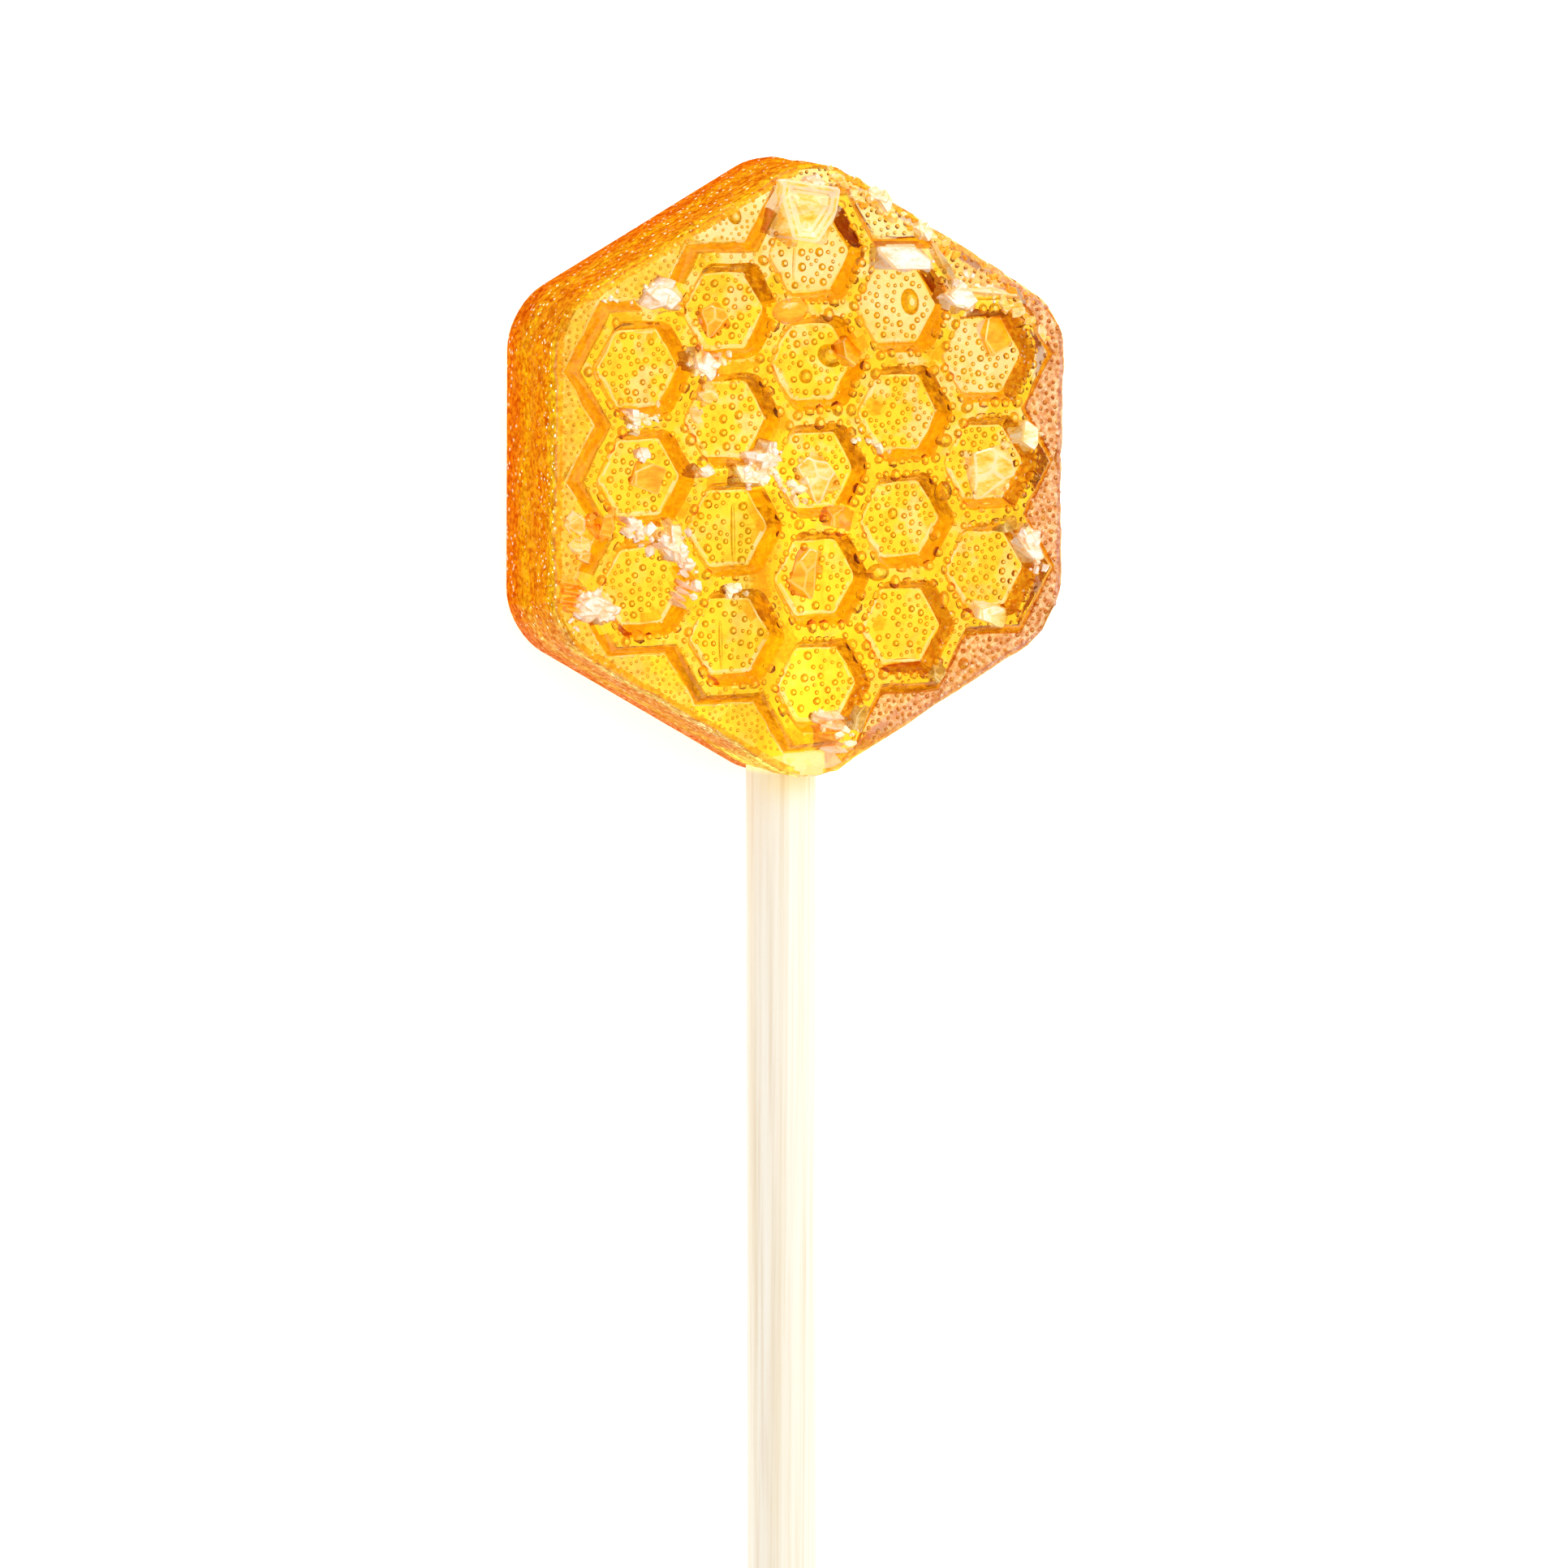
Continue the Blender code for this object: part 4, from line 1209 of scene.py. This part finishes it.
def shard(kind):
    """A broken piece a unit long, wide and high, standing on the ground at the origin. The lens is the smooth
    dome at the top of one."""
    if kind == "lens":
        piece = dome(20, 14)
        piece.scale = (0.5, 0.5, 0.2)
        piece.location.z = 0.88
        fix_place(piece)
        return piece
    bpy.ops.object.select_all(action="DESELECT")
    if kind == "grain":
        bpy.ops.mesh.primitive_ico_sphere_add(subdivisions=1, radius=0.62, location=(0, 0, 0.42))
    else:
        bpy.ops.mesh.primitive_cube_add(size=1, location=(0, 0, 0.5))
    piece = bpy.context.object
    fix_place(piece)
    for point, normal in SHARD_CUTS[kind]:
        cut_slanted(piece, point, normal)
    if kind == "grain":
        return piece
    start_edit(piece)
    if kind == "flake":
        pick(piece, "FACE", lambda face: face.normal.z > 0.9)
        bpy.ops.mesh.inset(thickness=0.13, depth=0)
        bpy.ops.mesh.inset(thickness=0.04, depth=-0.16)
        bpy.ops.mesh.inset(thickness=0.12, depth=0.05)
    keenest = 0.15 if kind == "pane" else 0.4
    pick(piece, "EDGE", lambda e: max(v.co.z for v in e.verts) > 0.3 and e.calc_face_angle(0) > keenest)
    # Two slots, so that the bevel marks the broken edges, which copies_at() stores for the material's painted
    # edge colour
    for slot in ("facets", "edges"):
        piece.data.materials.append(None)
    bpy.ops.mesh.bevel(offset=0.045, segments=1, affect="EDGES", material=1)
    end_edit()
    return piece


def chip_parts(rng, kind, length, width):
    """The shards that make up a chip: kind, place along and across it, length, width and height as shares of
    its own, and turn."""
    if kind == "lump":
        parts = [("slab", 0.08, 0.0, 0.7, 0.85, 0.88, rng.uniform(-0.5, 0.5)),
                 ("wedge", -0.22, 0.08, 0.6, 0.7, 1.0, rng.uniform(0, 3))]
        for k in range(4 + round(0.7 * length * width)):
            angle, far = rng.uniform(0, 2 * math.pi), rng.uniform(0.4, 0.9)
            size = rng.uniform(0.26, 0.5)
            parts.append((rng.choice(("grain", "wedge", "slab", "needle")),
                          far * math.cos(angle) / 2, far * math.sin(angle) / 2,
                          size * rng.uniform(0.8, 1.6), size, rng.uniform(0.6, 0.9), rng.uniform(0, 6)))
        return parts
    if kind == "bars":
        count = 4
        return [("needle", 0.06 * (-1) ** k, (k + 0.5) / count - 0.5, rng.uniform(0.85, 1.0), 0.9 / count,
                 rng.uniform(0.8, 1.0), rng.uniform(-0.05, 0.05)) for k in range(count)]
    if kind in ("slab", "flake", "pane"):
        return [(kind, 0, 0, 1, 1, 0.94, 0)] + [
            ("grain", rng.uniform(-0.5, 0.5), rng.choice((-0.5, 0.5)) * rng.uniform(0.8, 1.05), 0.18, 0.24,
             rng.uniform(0.7, 0.95), rng.uniform(0, 6)) for k in range(4)]
    return [(kind, 0, 0, 1, 1, 1, 0)]


def crumb_places(rng, tree, start, end, aside, count, widest):
    """Crumbs dropped on the skin along a line."""
    start, end = Vector(start) * MM, Vector(end) * MM
    side = Vector((start.y - end.y, end.x - start.x)).normalized()
    for k in range(count):
        spot = start.lerp(end, rng.random()) + side * rng.gauss(0, aside / 2) * MM
        ground = tree.ray_cast(Vector((*spot, 0.02)), Vector((0, 0, -1)))[0]
        size = widest * rng.uniform(0.3, 1.0) ** 1.3 * MM
        if ground is None or ground.z < sizes().depth - 1.5 * MM:
            continue
        spin = Matrix.Rotation(rng.uniform(0, 6.3), 4, "Z") @ Matrix.Rotation(rng.uniform(-0.5, 0.5), 4, "X")
        tall = min(size * rng.uniform(0.6, 1.0), 0.45 * MM, HEAD_HIGH.z - ground.z + 0.05 * MM)
        yield (Matrix.Translation(ground - Vector((0, 0, tall * 0.3))) @ spin
               @ Matrix.Diagonal((size * rng.uniform(0.8, 1.5), size * rng.uniform(0.6, 1.0), tall * 1.3, 1)))


class CANDY_OT_chips(Operator):
    """Model the chips and crumbs of broken candy that lie on the face"""
    bl_idname = "candy.chips"
    bl_label = "Chips and crumbs"
    bl_options = {"REGISTER", "UNDO"}

    def execute(self, context):
        s = sizes()
        rng = random.Random(s.seed + 1)
        tree = BVHTree.FromObject(bpy.data.objects["candy"], context.evaluated_depsgraph_get())
        rib_top, cell_floor = s.depth + s.rib_height, s.depth - s.sink
        shards = {}
        for table, foot, ground in ((CHIPS, s.depth - 0.7 * MM, rib_top),
                                    (CELL_SHARDS, cell_floor - 0.3 * MM, cell_floor)):
            for finish, kind, x, y, length, width, tall, turn in table:
                whole = Matrix.Rotation(math.radians(turn), 4, "Z")
                whole.translation = (x * MM, y * MM, foot)
                high = ground + tall * MM - foot
                for part, along, aside, long, wide, share, spin in chip_parts(rng, kind, length, width):
                    size = Matrix.Diagonal((long * length * MM, wide * width * MM, share * high, 1))
                    spot = Matrix.Translation((along * length * MM, aside * width * MM, 0))
                    place = whole @ spot @ Matrix.Rotation(spin, 4, "Z") @ size
                    shards.setdefault(finish, {}).setdefault(part, []).append(place)
        for finish, *line in CRUMBS:
            for place in crumb_places(rng, tree, *line):
                shards[finish].setdefault(rng.choice(("grain", "wedge", "slab")), []).append(place)
        for finish, kinds in shards.items():
            piece = join(*(copies_at(shard(kind), places, kind) for kind, places in kinds.items()))
            name_piece(piece, f"{finish}_chips")
            finish_piece(piece, chip_material(finish), "candy_head")
        return {"FINISHED"}


class CANDY_OT_stick(Operator):
    """Give the stick its pale wood"""
    bl_idname = "candy.stick"
    bl_label = "Stick"
    bl_options = {"REGISTER", "UNDO"}

    def execute(self, context):
        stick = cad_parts["stick"]
        for slot in stick.material_slots:
            slot.material = wood_material()
        return {"FINISHED"}


def floor_material():
    return Look("pale floor").finish({
        "Base Color": (*colours().floor, 1.0),
        "Roughness": 0.9,
        "Specular IOR Level": 0.0,
        "Emission Color": (1.0, 1.0, 1.0, 1.0),
        "Emission Strength": 0.54,
    })


# The camera looks down on the lying lollipop as it looked at the upright one: its turns about the
# picture's own axes, its distance, the picture's side in pixels, a pixel's width on the lollipop, and the
# pixel that shows the origin.
VIEW_TILT = math.radians(6.77)
VIEW_SWING = math.radians(22.69)
VIEW_ROLL = math.radians(-0.54)
VIEW_DISTANCE = 397 * MM
IMAGE_SIDE = 1932
PIXEL = 0.0605 * MM
ORIGIN_PIXEL = Vector((942.74, 573.17))
SENSOR = 36.0


def camera():
    turn = (Matrix.Rotation(VIEW_ROLL, 4, "Z") @ Matrix.Rotation(VIEW_TILT, 4, "X")
            @ Matrix.Rotation(VIEW_SWING, 4, "Y"))
    off = (ORIGIN_PIXEL - Vector((IMAGE_SIDE / 2, IMAGE_SIDE / 2))) * PIXEL
    data = bpy.data.cameras.new("camera")
    data.sensor_width = SENSOR
    data.lens = SENSOR * VIEW_DISTANCE / (IMAGE_SIDE * PIXEL)
    data.clip_start = 10 * MM
    thing = bpy.data.objects.new("camera", data)
    bpy.context.scene.collection.objects.link(thing)
    back = turn.transposed()
    place = back @ Vector((-off.x, off.y, VIEW_DISTANCE))
    thing.matrix_world = Matrix.Translation(place) @ back
    bpy.context.scene.camera = thing


LAMP_PLACE = Vector((0.15, 0.35, 0.6))
LAMP_SIDE = 0.35
LAMP_POWER = 3.0
SKY_STRENGTH = 0.74


def soft_light():
    """A wide lamp up beyond the candy's top right, aimed at it."""
    data = bpy.data.lights.new("key", "AREA")
    data.shape = "SQUARE"
    data.size = LAMP_SIDE
    data.energy = LAMP_POWER
    lamp = bpy.data.objects.new("key", data)
    bpy.context.scene.collection.objects.link(lamp)
    aim = (-LAMP_PLACE).to_track_quat("-Z", "Y").to_matrix().to_4x4()
    lamp.matrix_world = Matrix.Translation(LAMP_PLACE) @ aim


class CANDY_OT_stage(Operator):
    """Set the pale floor, the soft light and the camera"""
    bl_idname = "candy.stage"
    bl_label = "Stage"
    bl_options = {"REGISTER", "UNDO"}

    def execute(self, context):
        bpy.ops.object.select_all(action="DESELECT")
        bpy.ops.mesh.primitive_plane_add(size=4.0, location=(0, 0, -0.02 * MM))
        floor = name_piece(bpy.context.object, "floor")
        floor.data.materials.append(floor_material())
        floor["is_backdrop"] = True
        world = bpy.data.worlds.new("soft white")
        world.use_nodes = True
        sky = world.node_tree.nodes["Background"]
        sky.inputs["Color"].default_value = (1, 1, 1, 1)
        sky.inputs["Strength"].default_value = SKY_STRENGTH
        context.scene.world = world
        soft_light()
        camera()
        context.scene.view_settings.view_transform = "Standard"
        return {"FINISHED"}


class CANDY_PT_panel(Panel):
    """Lists the lollipop's pieces"""
    bl_idname = "CANDY_PT_panel"
    bl_label = "Honey lollipop"
    bl_space_type = "VIEW_3D"
    bl_region_type = "UI"
    bl_category = "Lollipop"

    def draw(self, context):
        for operator in PIECES:
            self.layout.operator(operator.bl_idname)
        for group in (context.scene.candy_sizes, context.scene.candy_colours):
            for name in group.__annotations__:
                self.layout.prop(group, name)


PIECES = (CANDY_OT_body, CANDY_OT_chips, CANDY_OT_stick, CANDY_OT_stage)
CLASSES = (CandySizes, CandyColours, *PIECES, CANDY_PT_panel)


def register():
    for cls in CLASSES:
        bpy.utils.register_class(cls)
    bpy.types.Scene.candy_sizes = PointerProperty(type=CandySizes)
    bpy.types.Scene.candy_colours = PointerProperty(type=CandyColours)


def unregister():
    del bpy.types.Scene.candy_sizes
    del bpy.types.Scene.candy_colours
    for cls in reversed(CLASSES):
        bpy.utils.unregister_class(cls)


def main():
    register()
    bpy.ops.candy.body()
    bpy.ops.candy.chips()
    bpy.ops.candy.stick()
    bpy.ops.candy.stage()
    bpy.context.view_layer.update()
    boxes = {"cad": CAD_BOX, "visual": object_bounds()}
    {name: [list(corner) for corner in box] for name, box in boxes.items()}


if __name__ == "__main__":
    main()
